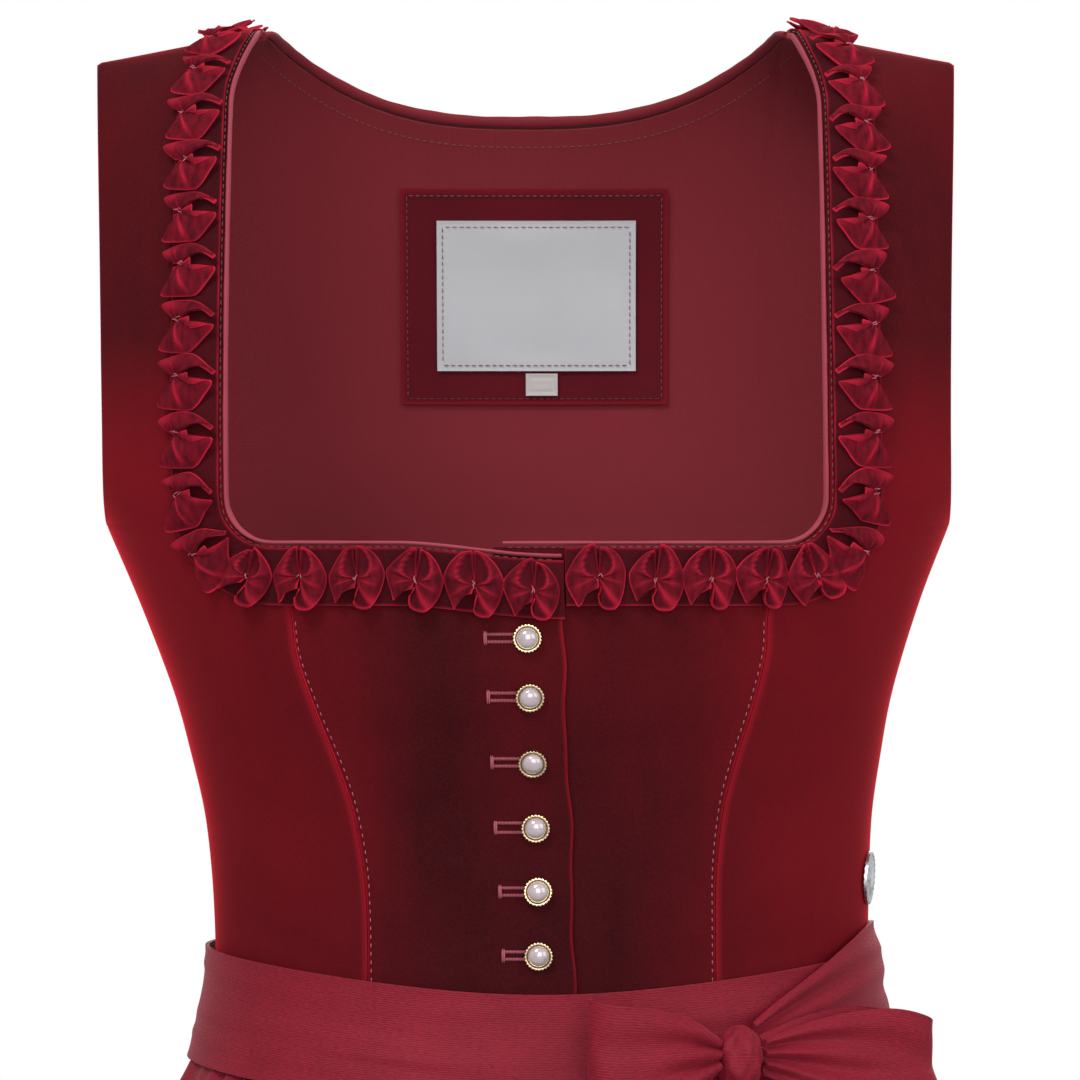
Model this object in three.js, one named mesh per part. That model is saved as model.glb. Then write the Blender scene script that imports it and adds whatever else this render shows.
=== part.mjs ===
// A dirndl, filled out as it is when worn, with no wearer in it.
// X runs to the wearer's left, the front looks along -Y, Z is up, and all sizes are millimetres.
// The origin lies midway between the tops of the two shoulder straps.
import * as THREE from 'three';

// Cloth thicknesses and clearances
const VELVET = 1.8;
const LINING = 0.9;
const RIBBON = 1.0;
const SKIRTING = 1.6;
const CREPE = 1.5;
const LABEL = 0.7;
const SEAM = 0.3;

// Levels and widths of the bodice
const UNDERARM_Z = -182;
const SHOULDER_Z = -2;
const SHOULDER_FALL = 0.2;
const SHOULDER_ROUNDING = 30;
const SIDE_WAIST_Z = -345;
const FRONT_WAIST_DIP = 12;
const BACK_WAIST_DIP = 3;
const SECTION_FULLNESS = 2.3;
const FRONT_DOME = 1.75;
const BACK_DOME = 2.2;
const DOME_DEPTH = 85;
const DOME_STEPS = 90;

// Neck opening, measured to the edge of the velvet
const NECK_SIDE_X = 109.3;
const NECK_TOP_X = 98.5;
const NECK_TOP_EASE = 75;
const NECK_FRONT_RISE = -7;
const NECK_CORNER = 15;
const NECK_BACK_Z = -31.5;
const NECK_BACK_LIFT = 33;
const NECK_BACK_CURVE = 2.8;

// Front opening, buttons and badge
const LAP_X = 12;
const UNDERLAP_X = -12;
const LAP_STEP_OUT = 34;
const LAP_STEP_IN = 20;
const LAP_BLEND = 50;
const BUTTON_X = -1;
const BUTTON_Z = [-221, -241.5, -264.5, -287.5, -310, -332.5];
const BUTTON_SIDES = 12;
const BADGE_RADIUS = 9.8;
const BADGE_SIDES = 20;
const BADGE_ANGLE = 80;
const BADGE_Z = -309;

// Ruche and the flat ribbon under it
const TRIM_MIDDLE = 10.7;
const TRIM_HALF = 10.6;
const TRIM_BASE = 0.7;
const RUCHE_BASE = 2.1;
const RUCHE_PITCH = 19.8;
const TRIM_STEP = 13;
const RUCHE_EDGE_DIP = 0.6;
const PIPING_OFF = -1.7;
const PIPING_HALF = 1.1;
const PIPING_DEPTH = 1.3;

// Skirt, apron and sash
const SKIRT_TOP_DROP = 0.4;
const APRON_TOP_DROP = 0.9;
const SKIRT_HEM_Z = -1040;
const APRON_HEM_Z = -985;
const APRON_EDGE_ANGLE = 86;
const BAND_TOP_Z = -334;
const BAND_FRONT_DIP = 12;
const BAND_BACK_DIP = 2;
const BAND_HEIGHT = 40;
const TIE_LIFT = 9;
const TIE_LIFT_END = 140;
const TIE_SEAM_ANGLE = 80;
const KNOT_ANGLE = 35;
const KNOT_Z = -367;
const KNOT_OUT = 12.5;
const LOOP_START = 9;
const LOOP_LEAN_FROM = 6;
const TAIL_DROP = 11.5;
const TAIL_TOP_HALF = 4;
const TAIL_HALF = 21;
const TAIL_SPREAD = 3;
const TAIL_WAVE = 1.22;
const TAIL_LIFT = 4;

// Horizontal sections of the bodice below the arms
const SECTIONS = [
  { z: -362, half: 119.5, front: 89.5, back: 88 },
  { z: -333, half: 118.8, front: 89, back: 87 },
  { z: -290, half: 121, front: 93, back: 87.5 },
  { z: -262, half: 126, front: 99, back: 90 },
  { z: -241, half: 131, front: 104.5, back: 93 },
  { z: -209, half: 142, front: 109.5, back: 98 },
  { z: -182, half: 153, front: 108, back: 101 },
];

// Half width of the same body above the arms, by the way up along the cloth
const CHEST = [
  { rise: 0, half: 153 },
  { rise: 12, half: 158 },
  { rise: 30, half: 162 },
  { rise: 60, half: 164 },
  { rise: 260, half: 167 },
];

// Edge of the armhole, by the way up along the cloth
const ARMHOLE = [
  { rise: 0, x: 152.8 },
  { rise: 40, x: 152.4 },
  { rise: 100, x: 153.4 },
  { rise: 170, x: 155.4 },
  { rise: 260, x: 157.6 },
];

// Seams that run down the front and the back
const FRONT_SEAM = [
  { z: -362, x: 61.6 },
  { z: -312, x: 61.8 },
  { z: -297, x: 62.7 },
  { z: -278, x: 65.8 },
  { z: -262, x: 70.7 },
  { z: -245, x: 77 },
  { z: -226, x: 82.6 },
  { z: -208, x: 84.6 },
  { z: -189, x: 94.3 },
];
const BACK_SEAM = [
  { z: -362, x: 41 },
  { z: -298, x: 47 },
  { z: -248, x: 62 },
  { z: -207, x: 90 },
  { z: -182, x: 110 },
  { z: -155, x: 131 },
  { z: -128, x: 149 },
];

// Skirt below the waist: mean section and depth of the folds
const SKIRT = [
  { z: -1040, half: 292, depth: 272, fold: 13 },
  { z: -760, half: 240, depth: 217, fold: 11 },
  { z: -560, half: 188, depth: 163, fold: 8.5 },
  { z: -430, half: 145, depth: 117, fold: 5 },
  { z: -376, half: 122.5, depth: 93.5, fold: 1.9 },
  { z: -345, half: 118.2, depth: 88, fold: 1.1 },
];
const SKIRT_ROWS = [0, 0.045, 0.13, 0.32, 0.6, 1];

// Widths of the skirt: where each one starts, in degrees, and how many folds it has
const SKIRT_WIDTHS = [
  { name: 'skirt_front', from: -55, to: 55, folds: 11 },
  { name: 'skirt_side_left', from: 55, to: 125, folds: 8 },
  { name: 'skirt_back', from: 125, to: 235, folds: 13 },
  { name: 'skirt_side_right', from: 235, to: 305, folds: 8 },
];

// Apron: how far it stands off the middle of the skirt's wall, and depth of its folds
const APRON_FOLDS = 24;
const APRON = [
  { z: -985, off: 25.5, fold: 8 },
  { z: -760, off: 23, fold: 7.5 },
  { z: -560, off: 18.5, fold: 6 },
  { z: -430, off: 12.3, fold: 4 },
  { z: -374, off: 5.2, fold: 1.3 },
];
const APRON_ROWS = [0, 0.05, 0.14, 0.34, 0.62, 1];

// Outer face of the apron's waistband, from its top edge down
const BAND = [
  { down: 0, half: 122.2, depth: 92.8 },
  { down: 14, half: 123.4, depth: 94.2 },
  { down: 40, half: 129, depth: 100.4 },
];

// One puff of the ruche, as shares of its pitch: height of its face, neck edge, middle and arm edge
const PUFF = [
  { at: 0, height: 1.0, neck: -11, middle: 0, arm: 11 },
  { at: 0.13, height: 4.8, neck: -10.6, middle: 0.5, arm: 10.4 },
  { at: 0.31, height: 6.8, neck: -9.2, middle: 1.2, arm: 8.8 },
  { at: 0.5, height: 1.0, neck: -2.2, middle: 2, arm: 5.4 },
  { at: 0.69, height: 6.8, neck: -9.2, middle: 1.2, arm: 8.8 },
  { at: 0.87, height: 4.8, neck: -10.6, middle: 0.5, arm: 10.4 },
];

// Path of a bow loop: way out from the knot, height over the band and half the height of the cloth
const LOOP = [
  { reach: 0, out: 3.6, half: 6 },
  { reach: 0.3, out: 9, half: 14 },
  { reach: 0.65, out: 11.5, half: 20 },
  { reach: 0.92, out: 9, half: 22 },
  { reach: 1, out: 4.5, half: 22.5 },
  { reach: 0.92, out: 0.5, half: 22 },
  { reach: 0.62, out: -1.6, half: 20 },
  { reach: 0.3, out: -0.8, half: 14 },
  { reach: 0, out: 0.6, half: 7 },
];

// Looks of the solids
const FINISHES = {
  velvet: { color: 0x6b1018, roughness: 0.85, metalness: 0 },
  ruche: { color: 0x7d1320, roughness: 0.8, metalness: 0 },
  rose: { color: 0x9a4654, roughness: 0.8, metalness: 0 },
  crepe: { color: 0x8c1e30, roughness: 0.75, metalness: 0 },
  skirting: { color: 0x7a2233, roughness: 0.8, metalness: 0 },
  grey: { color: 0xb0b3ba, roughness: 0.7, metalness: 0 },
  white: { color: 0xe6e2e0, roughness: 0.75, metalness: 0 },
  gilt: { color: 0xcdbb98, roughness: 0.35, metalness: 1 },
  pearl: { color: 0xc9b3b4, roughness: 0.2, metalness: 0 },
  silver: { color: 0xb9bbbf, roughness: 0.3, metalness: 1 },
};

const rad = THREE.MathUtils.degToRad;
const lerp = THREE.MathUtils.lerp;
const clamp = THREE.MathUtils.clamp;
const smoothstep = THREE.MathUtils.smoothstep;
const vec = (x, y, z) => new THREE.Vector3(x, y, z);
const steps = (count) => Array.from({ length: count + 1 }, (_, k) => k / count);

// Smooth reading of one column of a table, whichever way its key column runs
function read(rows, key, at, column) {
  const way = Math.sign(rows[rows.length - 1][key] - rows[0][key]);
  const last = rows.length - 1;
  let i = 0;
  while (i < last - 1 && way * (at - rows[i + 1][key]) > 0) {
    i += 1;
  }
  const slope = (a, b) => (rows[b][column] - rows[a][column]) / (rows[b][key] - rows[a][key]);
  const step = rows[i + 1][key] - rows[i][key];
  const t = clamp((at - rows[i][key]) / step, 0, 1);
  const start = slope(Math.max(i - 1, 0), i + 1) * step;
  const end = slope(i, Math.min(i + 2, last)) * step;
  const a = rows[i][column];
  const b = rows[i + 1][column];
  return a + t * (start + t * (3 * (b - a) - 2 * start - end + t * (2 * (a - b) + start + end)));
}

// Way from the side of the chest over to the shoulder line, as shares of depth and height by length
function dome(fullness) {
  const rise = SHOULDER_Z - UNDERARM_Z;
  const stations = [];
  let arc = 0;
  let before = null;
  for (let k = 0; k <= DOME_STEPS; k += 1) {
    const a = (k / DOME_STEPS) * (Math.PI / 2);
    const across = Math.max(Math.cos(a), 0) ** (2 / fullness);
    const up = Math.sin(a) ** (2 / fullness);
    if (before) {
      arc += Math.hypot((across - before.across) * DOME_DEPTH, (up - before.up) * rise);
    }
    before = { arc, across, up };
    stations.push(before);
  }
  return stations;
}

const FRONT = { sign: -1, depth: 'front', dip: FRONT_WAIST_DIP, dome: dome(FRONT_DOME) };
const BACK = { sign: 1, depth: 'back', dip: BACK_WAIST_DIP, dome: dome(BACK_DOME) };
const FRONT_TOP = FRONT.dome[DOME_STEPS].arc;
const BACK_TOP = BACK.dome[DOME_STEPS].arc;

// Radius of a rounded section, at an angle from its middle
function ringRadius(angle, half, depth, fullness) {
  const across = Math.abs(Math.sin(angle)) / half;
  const along = Math.abs(Math.cos(angle)) / depth;
  return (across ** fullness + along ** fullness) ** (-1 / fullness);
}

function sectionAt(face, rise) {
  const z = Math.min(UNDERARM_Z + rise, UNDERARM_Z);
  const half = rise > 0 ? read(CHEST, 'rise', rise, 'half') : read(SECTIONS, 'z', z, 'half');
  return { half, depth: read(SECTIONS, 'z', z, face.depth) };
}

function shoulderZ(x) {
  const reach = (at) => Math.hypot(at, SHOULDER_ROUNDING);
  return SHOULDER_Z - SHOULDER_FALL * (reach(x) - reach(NECK_TOP_X));
}

// Outer face of the bodice: angle from the middle of the front or back, way up from the underarm
function bodyPoint(face, angle, rise) {
  const { half, depth } = sectionAt(face, rise);
  const radius = ringRadius(angle, half, depth, SECTION_FULLNESS);
  const x = radius * Math.sin(angle);
  const y = face.sign * radius * Math.cos(angle);
  if (rise <= 0) {
    return vec(x, y, UNDERARM_Z + rise);
  }
  const across = read(face.dome, 'arc', rise, 'across');
  const up = read(face.dome, 'arc', rise, 'up');
  return vec(x, y * across, UNDERARM_Z + up * (shoulderZ(x) - UNDERARM_Z));
}

function onBody(face, angle, rise, out) {
  const at = bodyPoint(face, angle, rise);
  const da = 0.004;
  const dr = 0.4;
  const wide = bodyPoint(face, angle + da, rise).sub(bodyPoint(face, angle - da, rise));
  const tall = bodyPoint(face, angle, rise + dr).sub(bodyPoint(face, angle, rise - dr));
  const normal = wide.cross(tall).normalize().multiplyScalar(-face.sign);
  return at.addScaledVector(normal, out);
}

function angleAtX(face, x, rise) {
  const { half, depth } = sectionAt(face, rise);
  const share = clamp(1 - Math.abs(x / half) ** SECTION_FULLNESS, 0, 1);
  return Math.atan2(x, depth * share ** (1 / SECTION_FULLNESS));
}

// A row of a panel is a share of the way down to the waist, or a length up from the underarm
function riseOfRow(face, row, angle) {
  const waist = SIDE_WAIST_Z - face.dip * Math.cos(angle) ** 2;
  return row > 0 ? row : row * (UNDERARM_Z - waist);
}

function levelOfRow(row) {
  return row > 0 ? UNDERARM_Z + row : UNDERARM_Z + row * (UNDERARM_Z - SIDE_WAIST_Z);
}

// Closed wall from two grids of points that lie face to face
function wall(outer, inner) {
  const rows = outer.length;
  const columns = outer[0].length;
  const positions = [];
  [...outer.flat(), ...inner.flat()].forEach((p) => positions.push(p.x, p.y, p.z));
  const index = (side, i, j) => side * rows * columns + i * columns + j;
  const faces = [];
  const quad = (a, b, c, d) => faces.push(a, b, c, a, c, d);
  for (let i = 0; i < rows - 1; i += 1) {
    for (let j = 0; j < columns - 1; j += 1) {
      quad(index(0, i, j), index(0, i, j + 1), index(0, i + 1, j + 1), index(0, i + 1, j));
      quad(index(1, i, j), index(1, i + 1, j), index(1, i + 1, j + 1), index(1, i, j + 1));
    }
  }
  const low = rows - 1;
  const end = columns - 1;
  for (let j = 0; j < end; j += 1) {
    quad(index(0, 0, j), index(1, 0, j), index(1, 0, j + 1), index(0, 0, j + 1));
    quad(index(0, low, j), index(0, low, j + 1), index(1, low, j + 1), index(1, low, j));
  }
  for (let i = 0; i < low; i += 1) {
    quad(index(0, i, 0), index(0, i + 1, 0), index(1, i + 1, 0), index(1, i, 0));
    quad(index(0, i, end), index(1, i, end), index(1, i + 1, end), index(0, i + 1, end));
  }
  return solid(positions, faces);
}

// Ring of equal sections, joined end to end
function closedTube(sections) {
  const count = sections.length;
  const sides = sections[0].length;
  const positions = sections.flat().flatMap((p) => [p.x, p.y, p.z]);
  const index = (i, j) => (i % count) * sides + (j % sides);
  const faces = [];
  for (let i = 0; i < count; i += 1) {
    for (let j = 0; j < sides; j += 1) {
      faces.push(index(i, j), index(i + 1, j), index(i + 1, j + 1));
      faces.push(index(i, j), index(i + 1, j + 1), index(i, j + 1));
    }
  }
  return solid(positions, faces);
}

// Turned shape: profile rows from the foot of the axis to its head, both ends on the axis
function turned(profile, sides, origin, axis) {
  const side = Math.abs(axis.z) < 0.9 ? vec(0, 0, 1).cross(axis).normalize() : vec(1, 0, 0);
  const other = axis.clone().cross(side).normalize();
  const positions = [];
  const place = (radius, height, turn) => {
    const p = origin.clone().addScaledVector(axis, height);
    p.addScaledVector(side, radius * Math.cos(turn)).addScaledVector(other, radius * Math.sin(turn));
    positions.push(p.x, p.y, p.z);
  };
  place(0, profile[0].height, 0);
  const rings = profile.slice(1, -1);
  rings.forEach((row) => {
    for (let k = 0; k < sides; k += 1) {
      place(row.radius, row.height, (2 * Math.PI * k) / sides);
    }
  });
  place(0, profile[profile.length - 1].height, 0);
  const head = 1 + rings.length * sides;
  const index = (ring, k) => 1 + ring * sides + (k % sides);
  const faces = [];
  for (let k = 0; k < sides; k += 1) {
    faces.push(0, index(0, k + 1), index(0, k));
    for (let ring = 0; ring < rings.length - 1; ring += 1) {
      faces.push(index(ring, k), index(ring, k + 1), index(ring + 1, k + 1));
      faces.push(index(ring, k), index(ring + 1, k + 1), index(ring + 1, k));
    }
    faces.push(head, index(rings.length - 1, k), index(rings.length - 1, k + 1));
  }
  return solid(positions, faces);
}

// Geometry with its faces turned outwards
function solid(positions, faces) {
  const at = (k) => vec(positions[3 * k], positions[3 * k + 1], positions[3 * k + 2]);
  let volume = 0;
  for (let f = 0; f < faces.length; f += 3) {
    volume += at(faces[f]).dot(at(faces[f + 1]).cross(at(faces[f + 2])));
  }
  const index = volume > 0 ? faces : faces.slice().reverse();
  const geometry = new THREE.BufferGeometry();
  geometry.setAttribute('position', new THREE.Float32BufferAttribute(positions, 3));
  geometry.setIndex(index);
  return geometry;
}

// Unit normals of a grid from its neighbours, turned the way of a guide
function gridNormals(grid, guide) {
  const step = (list, i) => [list[Math.max(i - 1, 0)], list[Math.min(i + 1, list.length - 1)]];
  return grid.map((row, i) => row.map((p, j) => {
    const [left, right] = step(row, j);
    const [low, high] = step(grid, i).map((other) => other[j]);
    const normal = right.clone().sub(left).cross(high.clone().sub(low)).normalize();
    return normal.dot(guide(p)) < 0 ? normal.negate() : normal;
  }));
}

function moved(grid, normals, by) {
  return grid.map((row, i) => row.map((p, j) => p.clone().addScaledVector(normals[i][j], by)));
}

const away = (p) => vec(p.x, p.y, 0);

// Bodice panels
function panelGrid({ face, rows, columns, angleOf, riseOf = riseOfRow, sink = () => 0 }, out) {
  return rows.map((row) => columns.map((column) => {
    const angle = angleOf(row, column);
    const rise = riseOf(face, row, angle, column);
    return onBody(face, angle, rise, out - sink(column));
  }));
}

const seamTurn = (radius) => SEAM / 2 / radius;
const SIDE_SEAM = Math.PI / 2 - seamTurn(120);
const LOW_ROWS = [-1, -0.86, -0.72, -0.58, -0.44, -0.3, -0.17, -0.042];
const neckX = (rise) => NECK_SIDE_X
  - (NECK_SIDE_X - NECK_TOP_X) * smoothstep(rise, FRONT_TOP - NECK_TOP_EASE, FRONT_TOP);

// Inner edge of the front side panel: the seam, the corner of the neck, then the neck's side
function frontSideEdge(row) {
  const rise = row > 0 ? row : row * (UNDERARM_Z - SIDE_WAIST_Z);
  const cornerTop = NECK_FRONT_RISE + NECK_CORNER;
  if (row <= LOW_ROWS[LOW_ROWS.length - 1]) {
    return read(FRONT_SEAM, 'z', levelOfRow(row), 'x') + SEAM / 2;
  }
  if (rise < cornerTop) {
    return NECK_SIDE_X - NECK_CORNER + Math.sqrt(Math.max(NECK_CORNER ** 2 - (rise - cornerTop) ** 2, 0));
  }
  return neckX(rise);
}

function armSideAngle(face, row) {
  if (row <= 0) {
    return SIDE_SEAM;
  }
  return Math.min(angleAtX(face, read(ARMHOLE, 'rise', row, 'x'), row), SIDE_SEAM);
}

function frontSidePanel(side) {
  const top = FRONT_TOP - SEAM / 2;
  return {
    face: FRONT,
    rows: [...LOW_ROWS, -0.035, -0.0157, 2.3, 8, 30, 70, 110, 145, 170, 192, top],
    columns: [0, 0.2, 0.42, 0.66, 0.86, 1],
    angleOf: (row, u) => {
      const level = row > 0 ? row : row * (UNDERARM_Z - SIDE_WAIST_Z);
      const inner = angleAtX(FRONT, frontSideEdge(row), level);
      return side * lerp(inner, armSideAngle(FRONT, row), u);
    },
  };
}

function frontCentrePanel(xOf, columns, sink) {
  return {
    face: FRONT,
    rows: LOW_ROWS,
    columns,
    angleOf: (row, u) => {
      const seam = read(FRONT_SEAM, 'z', levelOfRow(row), 'x') - SEAM / 2;
      return angleAtX(FRONT, xOf(u, seam), row * (UNDERARM_Z - SIDE_WAIST_Z));
    },
    sink,
  };
}

// Back: its seams run out into the armholes, its top edge is the neck and both shoulders
const BACK_TOP_X = [0, 15, 32, 50, 66, 78, 88, NECK_TOP_X, 117, 137, 157.4];
const BACK_LOW_ROWS = [-1, -0.7, -0.4, -0.15, 0];
const BACK_JOIN = 0.25;
const BACK_HIGH_ROWS = [0.13, BACK_JOIN, 0.42, 0.6, 0.78, 0.91, 1];
const backNeckZ = (x) => NECK_BACK_Z + NECK_BACK_LIFT * Math.abs(x / NECK_TOP_X) ** NECK_BACK_CURVE;

function backTopRise(x) {
  if (Math.abs(x) >= NECK_TOP_X) {
    return BACK_TOP - SEAM / 2;
  }
  const share = (backNeckZ(x) - UNDERARM_Z) / (shoulderZ(x) - UNDERARM_Z);
  return Math.min(read(BACK.dome, 'up', share, 'arc'), BACK_TOP - SEAM / 2);
}

function backEdge(row) {
  const top = BACK_TOP - SEAM / 2;
  if (row <= BACK_JOIN) {
    return read(BACK_SEAM, 'z', row > 0 ? UNDERARM_Z + row * top : levelOfRow(row), 'x');
  }
  return read(ARMHOLE, 'rise', row * top, 'x');
}

const backLevel = (row) => (row > 0 ? row * (BACK_TOP - SEAM / 2) : row * (UNDERARM_Z - SIDE_WAIST_Z));

function backCentrePanel() {
  const right = BACK_TOP_X.map((x) => x / BACK_TOP_X[BACK_TOP_X.length - 1]);
  const columns = [...right.slice(1).reverse().map((u) => -u), ...right];
  const topX = (u) => u * BACK_TOP_X[BACK_TOP_X.length - 1];
  const riseOf = (face, row, angle, u) => (
    row > 0 ? row * backTopRise(topX(u)) : riseOfRow(face, row, angle)
  );
  return {
    face: BACK,
    rows: [...BACK_LOW_ROWS, ...BACK_HIGH_ROWS],
    columns,
    riseOf,
    angleOf: (row, u) => {
      const x = u * (backEdge(row) - SEAM / 2);
      return angleAtX(BACK, x, row > 0 ? row * backTopRise(topX(u)) : backLevel(row));
    },
  };
}

function backSidePanel(side) {
  return {
    face: BACK,
    rows: [...BACK_LOW_ROWS, ...BACK_HIGH_ROWS.filter((row) => row <= BACK_JOIN)],
    columns: [0, 0.25, 0.5, 0.75, 1],
    riseOf: (face, row, angle) => (row > 0 ? backLevel(row) : riseOfRow(face, row, angle)),
    angleOf: (row, u) => {
      const inner = angleAtX(BACK, backEdge(row) + SEAM / 2, backLevel(row));
      const outer = armSideAngle(BACK, row > 0 ? backLevel(row) : row);
      return side * lerp(inner, outer, u);
    },
  };
}

// Neck edge in the flat: x across, and the way up the front, over the shoulder and down the back
function neckStations() {
  const half = [0, 24, 48, 72].map((x) => [x, NECK_FRONT_RISE]);
  const centre = [NECK_SIDE_X - NECK_CORNER, NECK_FRONT_RISE + NECK_CORNER];
  [-90, -67.5, -45, -22.5, 0].map(rad).forEach((turn) => {
    half.push([
      centre[0] + NECK_CORNER * Math.cos(turn),
      centre[1] + NECK_CORNER * Math.sin(turn),
    ]);
  });
  [30, 70, 110, 145, 170, 192, FRONT_TOP].forEach((rise) => half.push([neckX(rise), rise]));
  [...BACK_TOP_X].reverse().filter((x) => x < NECK_TOP_X).forEach((x) => {
    half.push([x, FRONT_TOP + BACK_TOP - backTopRise(x)]);
  });
  const mirrored = half.slice(1, -1).reverse().map(([x, way]) => [-x, way]);
  return [...half, ...mirrored].map(([x, way]) => vec(x, way, 0));
}

function onFlat(x, way, out) {
  const front = way <= FRONT_TOP;
  const face = front ? FRONT : BACK;
  const rise = front ? way : FRONT_TOP + BACK_TOP - way;
  return onBody(face, angleAtX(face, x, rise), rise, out);
}

const NECK = new THREE.CatmullRomCurve3(neckStations(), true, 'centripetal');

// Place beside the neck edge: share of the whole way round, distance from the edge, height over the cloth
function besideNeck(share, off, out) {
  const turn = ((share % 1) + 1) % 1;
  const at = NECK.getPoint(turn);
  const tangent = NECK.getTangent(turn);
  return onFlat(at.x + off * tangent.y, at.y - off * tangent.x, out);
}

// Shares of the way round for lengths along the middle of the trim, from the centre front
const TRIM_STATIONS = 600;
const TRIM_WAY = (() => {
  const rows = [{ length: 0, share: 0 }];
  let before = besideNeck(0, TRIM_MIDDLE, 0);
  for (let k = 1; k <= TRIM_STATIONS; k += 1) {
    const share = k / TRIM_STATIONS;
    const here = besideNeck(share, TRIM_MIDDLE, 0);
    rows.push({ length: rows[k - 1].length + here.distanceTo(before), share });
    before = here;
  }
  return rows;
})();
const TRIM_LENGTH = TRIM_WAY[TRIM_WAY.length - 1].length;

function shareAt(length) {
  const along = ((length % TRIM_LENGTH) + TRIM_LENGTH) % TRIM_LENGTH;
  let low = 0;
  let high = TRIM_WAY.length - 1;
  while (high - low > 1) {
    const middle = (low + high) >> 1;
    if (TRIM_WAY[middle].length > along) {
      high = middle;
    } else {
      low = middle;
    }
  }
  const t = (along - TRIM_WAY[low].length) / (TRIM_WAY[high].length - TRIM_WAY[low].length);
  return lerp(TRIM_WAY[low].share, TRIM_WAY[high].share, t);
}

function piping() {
  const stations = neckStations();
  const count = stations.length;
  const section = [0, 1, 2, 3, 4, 5].map((k) => rad(60 * k + 30));
  return closedTube(stations.map((at, i) => {
    const tangent = stations[(i + 1) % count].clone().sub(stations[(i + count - 1) % count]).normalize();
    return section.map((turn) => {
      const off = PIPING_OFF + PIPING_HALF * Math.cos(turn);
      const out = -VELVET / 2 + PIPING_DEPTH * Math.sin(turn);
      return onFlat(at.x + off * tangent.y, at.y - off * tangent.x, out);
    });
  }));
}

function flatRibbon(from, to) {
  const count = Math.round((to - from) / TRIM_STEP);
  const shares = steps(count).map((t) => shareAt(lerp(from, to, t)));
  const grid = (out) => [-TRIM_HALF, 0, TRIM_HALF].map((across) => (
    shares.map((share) => besideNeck(share, TRIM_MIDDLE + across, out))
  ));
  return wall(grid(TRIM_BASE + RIBBON), grid(TRIM_BASE));
}

// Ruched ribbon: puffs that are pinched to a tack, with flat ribbon between each two
function ruche(from, to) {
  const puffs = Math.round((to - from) / RUCHE_PITCH);
  const pitch = (to - from) / puffs;
  const columns = [];
  for (let k = 0; k < puffs; k += 1) {
    PUFF.forEach((row) => columns.push({ ...row, length: from + (k + row.at) * pitch }));
  }
  columns.push({ ...PUFF[0], length: to });
  const lean = columns.map((column, i) => {
    const before = columns[Math.max(i - 1, 0)];
    const after = columns[Math.min(i + 1, columns.length - 1)];
    const along = after.length - before.length;
    const up = after.height - before.height;
    const size = Math.hypot(along, up);
    return { along: -up / size, up: along / size };
  });
  const face = (sunk) => ['neck', 'middle', 'arm'].map((place) => columns.map((column, i) => {
    const dip = place !== 'middle' && column.height > 2 ? RUCHE_EDGE_DIP : 0;
    const length = column.length - sunk * lean[i].along;
    const out = RUCHE_BASE + column.height - dip - sunk * lean[i].up;
    return besideNeck(shareAt(length), TRIM_MIDDLE + column[place], out);
  }));
  return wall(face(0), face(RIBBON));
}

// Labels inside the back, sewn on the lining
const PATCHES = [
  { name: 'label_patch', x: [-48, 54], z: [-135, -53], out: -4.1, columns: 6, rows: 4, finish: 'velvet' },
  { name: 'label', x: [-34.5, 42], z: [-122, -64.5], out: -5.5, columns: 4, rows: 3, finish: 'grey' },
  { name: 'size_tag', x: [-0.4, 11.8], z: [-131.5, -123], out: -5.5, columns: 1, rows: 1, finish: 'white' },
];

function patch({ x, z, out, columns, rows }) {
  const grid = (depth) => steps(rows).map((up) => steps(columns).map((t) => {
    const across = lerp(x[0], x[1], t);
    const share = (lerp(z[0], z[1], up) - UNDERARM_Z) / (shoulderZ(across) - UNDERARM_Z);
    const rise = read(BACK.dome, 'up', share, 'arc');
    return onBody(BACK, angleAtX(BACK, across, rise), rise, depth);
  }));
  return wall(grid(out), grid(out - LABEL));
}

// Folded cloth: angles of the columns, each with its share of the fold's depth
function foldColumns(from, to, folds, seed) {
  const widths = Array.from({ length: folds }, (_, k) => 1 + 0.2 * Math.sin(2.3 * k + seed));
  const whole = widths.reduce((sum, width) => sum + width, 0);
  const columns = [];
  let at = from;
  widths.forEach((width, k) => {
    const span = ((to - from) * width) / whole;
    const deep = 1 + 0.22 * Math.sin(1.9 * k + 2 * seed);
    columns.push({ angle: at, wave: -1 });
    columns.push({ angle: at + 0.27 * span, wave: 0 });
    columns.push({ angle: at + 0.5 * span, wave: deep });
    columns.push({ angle: at + 0.73 * span, wave: 0 });
    at += span;
  });
  columns.push({ angle: to, wave: -1 });
  return columns;
}

function ringPoint(angle, half, depth, off, z) {
  const radius = ringRadius(rad(angle), half, depth, SECTION_FULLNESS) + off;
  return vec(radius * Math.sin(rad(angle)), -radius * Math.cos(rad(angle)), z);
}

function skirtTop(angle) {
  const front = Math.cos(rad(angle));
  const dip = front > 0 ? FRONT_WAIST_DIP : BACK_WAIST_DIP;
  return SIDE_WAIST_Z - dip * front ** 2 - SKIRT_TOP_DROP;
}

function skirtPoint(angle, row, wave) {
  const z = lerp(skirtTop(angle), SKIRT_HEM_Z, row);
  const level = lerp(SIDE_WAIST_Z, SKIRT_HEM_Z, row);
  const half = read(SKIRT, 'z', level, 'half');
  const depth = read(SKIRT, 'z', level, 'depth');
  return ringPoint(angle, half, depth, wave * read(SKIRT, 'z', level, 'fold'), z);
}

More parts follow.
